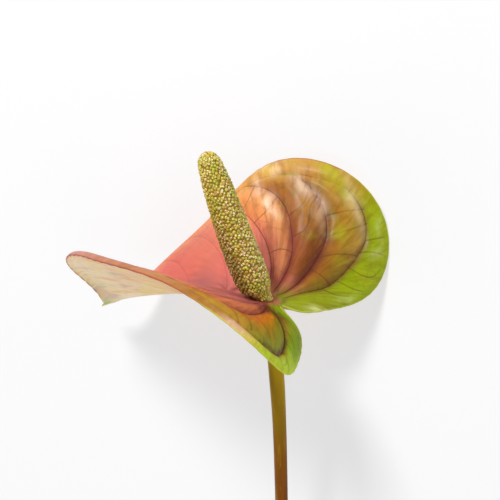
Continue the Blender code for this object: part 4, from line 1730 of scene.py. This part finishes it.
    def make_florets(self) -> bpy.types.Object:
        """All florets as one mesh, each a copy of the template that follows the spike's surface.

        Returns:
            The object, which holds each point's height, its floret's tone and its painted glint.
        """
        draw = random.Random(self.seed)
        spots, tops, faces, lit = self.floret_template()
        size = math.sqrt(self.floret_area) / 2 * self.floret_overlap
        jitter, lean = self.floret_jitter * size, self.floret_lean
        angles, stations, lifts, tones, glints, all_faces = [], [], [], [], [], []
        for i, (angle, station) in enumerate(self.floret_places()):
            radius = max(float(self.radius_at(min(station, self.end))), 1.0)
            scale = size * draw.uniform(*self.floret_scale)
            turn = math.pi / 4 + draw.uniform(-self.floret_turn, self.floret_turn)
            angle += draw.uniform(-1, 1) * jitter / radius
            station += draw.uniform(-1, 1) * jitter
            tilt = spots[:, 0] * draw.uniform(-lean, lean) + spots[:, 1] * draw.uniform(-lean, lean)
            across = spots[:, 0] * math.cos(turn) - spots[:, 1] * math.sin(turn)
            along = spots[:, 0] * math.sin(turn) + spots[:, 1] * math.cos(turn)
            angles.append(angle + across * scale / radius)
            stations.append(station + along * scale)
            lift = (tops - 1 + tilt) * self.floret_height - draw.uniform(0, self.floret_sink)
            lifts.append(np.minimum(lift, 0))
            tones.append(np.full(len(tops), draw.random()))
            glint = 1.0 if draw.random() < self.bright_share else draw.uniform(0, self.dim_glint)
            sparks = [self.spark * (draw.random() < self.spark_share) for _ in tops]
            glints.append(np.where(lit > 0, lit * glint, sparks) * (tops > self.glint_above))
            all_faces += [tuple(k + i * len(tops) for k in face) for face in faces]
        s = np.clip(np.concatenate(stations), self.lowest_floret, None)
        points = self.surface(np.concatenate(angles), s, np.concatenate(lifts))
        mesh = bpy.data.meshes.new("florets")
        mesh.from_pydata(LAY.place(points).tolist(), [], all_faces)
        made = bpy.data.objects.new("florets", mesh)
        bpy.context.scene.collection.objects.link(made)
        keep_number(made, "high", np.tile(np.clip(tops, 0, 1), len(angles)))
        keep_number(made, "tone", np.concatenate(tones))
        # The stigma attribute holds the painted glints.
        keep_number(made, "stigma", np.concatenate(glints))
        self.face_outwards(made)
        LOG.info("florets: %d", len(angles))
        return made

    def face_outwards(self, made: bpy.types.Object) -> None:
        """Turns the florets' faces away from the axis.

        Args:
            made: The florets.
        """
        axis = LAY.place(self.axis.places)
        facing = 0.0
        for face in list(made.data.polygons)[::97]:
            centre = np.array(face.center)
            off = centre - axis[np.linalg.norm(axis - centre, axis=1).argmin()]
            facing += float(np.dot(off, face.normal))
        if facing < 0:
            made.data.flip_normals()


@dataclass
class Peduncle:
    """The stalk: a long round stem that flares into the blade and ends in a slanted cut."""

    blade: Blade
    line: Line = (
        (-2.6, -2.6, -3.0),
        (-2.2, -6.0, -3.6),
        (-1.2, -16.0, -5.0),
        (0.2, -34.0, -7.4),
        (1.5, -70.0, -12.0),
        (2.8, -130.0, -19.0),
        (3.4, -220.0, -29.5),
        (2.6, -340.0, -43.0),
    )
    stations_y: tuple[float, ...] = (-340, -240, -130, -70, -54, -40, -30, -15, -6)
    radii: tuple[float, ...] = (3.05, 2.7, 2.4, 2.4, 2.5, 2.62, 2.8, 2.85, 2.9)
    axis_steps: int = 800
    crowding: float = 1.15
    flare: float = 3.4
    gap: float = 0.3
    skin_end: float = 0.96
    cut_slant: float = 0.7
    cut_dip: float = 0.35
    sides: int = 36
    rings: int = 260
    ridges: int = 5
    ridge: float = 0.05
    ridge_span: Span = (0, 0.1)
    slant_span: Span = (0.985, 1)
    flare_span: Span = (0, 0.012)
    merge_within: float = 0.01

    def build(self) -> bpy.types.Object:
        """Makes the stalk.

        Returns:
            The finished object.
        """
        held = {}

        def place(across: Array, along: Array) -> Array:
            """The stalk's points, with what tells its cut apart kept."""
            points, held["cut"], held["core"] = self.points(across, along)
            return points

        made = warped_grid("peduncle_stalk", self.sides, self.rings, place)
        for name, values in held.items():
            keep_number(made, name, values)
        close_seams(made, self.merge_within)
        bpy.ops.object.shade_smooth_by_angle(angle=SMOOTH_BELOW)
        made.data.materials.append(StalkSkin().material())
        settle(made, "peduncle")
        return made

    def points(self, across: Array, along: Array) -> tuple[Array, Array, Array]:
        """The stalk's points, from under the blade to the middle of the cut.

        Args:
            across: Shares round the stalk.
            along: Shares from the blade, 0, to the cut's middle, 1.

        Returns:
            The points, their shares of the cut face, and how far out they are on it.
        """
        share = np.clip(along / self.skin_end, 0, 1) ** self.crowding
        core = np.clip((1 - along) / (1 - self.skin_end), 0, 1)
        table = np.linspace(0, 1, self.axis_steps)
        axis = Axis(table, curve_through(self.line)[0](table), (0, 0, 1))
        middle, ahead, first, second = (
            axis.at(share, rows) for rows in (axis.places, axis.ahead, axis.first, axis.second)
        )
        angle = across * FULL_TURN
        y = np.clip(middle[:, 1], self.stations_y[0], self.stations_y[-1])
        ridges = self.ridge * (1 + np.cos(self.ridges * angle)) * ease(share, *self.ridge_span)
        radius = (spline(self.stations_y, self.radii)(y) - ridges) * core
        slant = self.cut_slant * radius * np.cos(angle) * ease(share, *self.slant_span)
        dip = self.cut_dip * (1 - core) * (core < 1)
        aside, over = (np.cos(angle) * radius)[:, None], (np.sin(angle) * radius)[:, None]
        points = middle + aside * first + over * second
        points = points + slant[:, None] * ahead - dip[:, None] * ahead
        top_angles = self.top_angles(angle, first, second)
        top = self.blade.ring(self.blade.stalk_at, self.flare, top_angles, -1, self.gap)
        points = top + (points - top) * ease(along, *self.flare_span)[:, None]
        return points, (along > self.skin_end).astype(float), core

    def top_angles(self, angle: Array, first: Array, second: Array) -> Array:
        """The angles on the flat blade that lie over angles round the stalk.

        Args:
            angle: The angles round the stalk.
            first: The first direction across it, at each.
            second: The second one.

        Returns:
            The angles on the flat blade.
        """
        u, w = np.array(self.blade.stalk_at)[:, None]
        step = 0.5
        centre = self.blade.point(u, w)[0]
        along = unit(self.blade.point(u + step, w)[0] - centre)
        across = unit(self.blade.point(u, w + step)[0] - centre)
        out = np.cos(angle)[:, None] * first + np.sin(angle)[:, None] * second
        return np.arctan2(out @ across, out @ along)


@dataclass(frozen=True)
class SoftLight:
    """A square soft light in the bloom's frame, with its side in metres and its power in watts."""

    name: str
    at: tuple[float, float, float]
    size: float
    power: float
    colour: str

    def make(self, aim: tuple[float, float, float]) -> None:
        """Hangs the light.

        Args:
            aim: The place in the bloom's frame that it faces.
        """
        lamp = bpy.data.lights.new(self.name, "AREA")
        lamp.size, lamp.energy, lamp.color = self.size, self.power, linear(self.colour)[:3]
        made = bpy.data.objects.new(self.name, lamp)
        bpy.context.scene.collection.objects.link(made)
        place, target = (LAY.matrix() @ (Vector(spot) * MM) for spot in (self.at, aim))
        made.location = place
        made.rotation_euler = (target - place).to_track_quat("-Z", "Y").to_euler()


@dataclass
class Studio:
    """The pale table, the soft lights and the camera that looks down on the flower."""

    table_size: float = 6.0
    table_drop: float = 0.0002
    table_shades: tuple[str, str] = ("a0a0a2", "a4a4a4")
    table_light: str = "fbfcff"
    table_glow: float = 0.555
    lights: tuple[SoftLight, ...] = (
        SoftLight("window", (-420, 600, 680), 0.24, 8.5, "fffdf8"),
        SoftLight("fill", (500, -250, 900), 1.4, 4.0, "fbfcff"),
        SoftLight("bounce", (-620, -420, 420), 0.9, 2.2, "fffaf4"),
    )
    aim: tuple[float, float, float] = (-10, 10, 0)
    sky: float = 0.3
    camera_at: tuple[float, float, float] = (-10.08, 20.16, 500.0)
    camera_reach: Span = (0.01, 20.0)
    lens: float = 100.0
    sensor: float = 36.0

    def build(self) -> None:
        """Sets up the table, the lights, the sky and the camera."""
        self.make_table()
        for light in self.lights:
            light.make(self.aim)
        self.make_sky()
        self.make_camera()
        bpy.context.scene.view_settings.view_transform = "Standard"
        LOG.info("studio ready")

    def make_table(self) -> None:
        """A wide pale surface just under the flower."""
        select_only()
        bpy.ops.mesh.primitive_plane_add(size=self.table_size, location=(0, 0, -self.table_drop))
        table = bpy.context.active_object
        table.name = "table"
        paint = Paint("pale_table")
        dark, pale = self.table_shades
        finish = paint.finish(
            base_color=paint.layers(dark, (paint.noise(paint.place(), 3, 2), pale)),
            roughness=0.9,
            specular_ior_level=0.1,
            emission_color=self.table_light,
            emission_strength=self.table_glow,
        )
        table.data.materials.append(finish)
        table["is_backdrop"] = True

    def make_sky(self) -> None:
        """Even white light from all round."""
        world = bpy.data.worlds.new("bright_room")
        world.use_nodes = True
        inputs = world.node_tree.nodes["Background"].inputs
        inputs["Color"].default_value = (1, 1, 1, 1)
        inputs["Strength"].default_value = self.sky
        bpy.context.scene.world = world

    def make_camera(self) -> None:
        """The camera over the bloom, at the photograph's angle and distance."""
        lens = bpy.data.cameras.new("camera")
        lens.lens, lens.sensor_width = self.lens, self.sensor
        lens.clip_start, lens.clip_end = self.camera_reach
        made = bpy.data.objects.new("camera", lens)
        bpy.context.scene.collection.objects.link(made)
        made.matrix_world = LAY.matrix() @ Matrix.Translation(Vector(self.camera_at) * MM)
        bpy.context.scene.camera = made


def write_sizes() -> None:
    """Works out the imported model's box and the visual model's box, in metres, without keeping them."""
    boxes = {"cad": CAD_BOX, "visual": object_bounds()}
    {name: [list(corner) for corner in box] for name, box in boxes.items()}


def main() -> None:
    """Builds the flower piece by piece, then the studio."""
    logging.basicConfig(level=logging.INFO, format="%(message)s")
    blade = Blade()
    for part in (Peduncle(blade), Spathe(blade), Spadix(blade)):
        made = part.build()
        LOG.info("built %s", made.name)
    Studio().build()
    write_sizes()


if __name__ == "__main__":
    main()
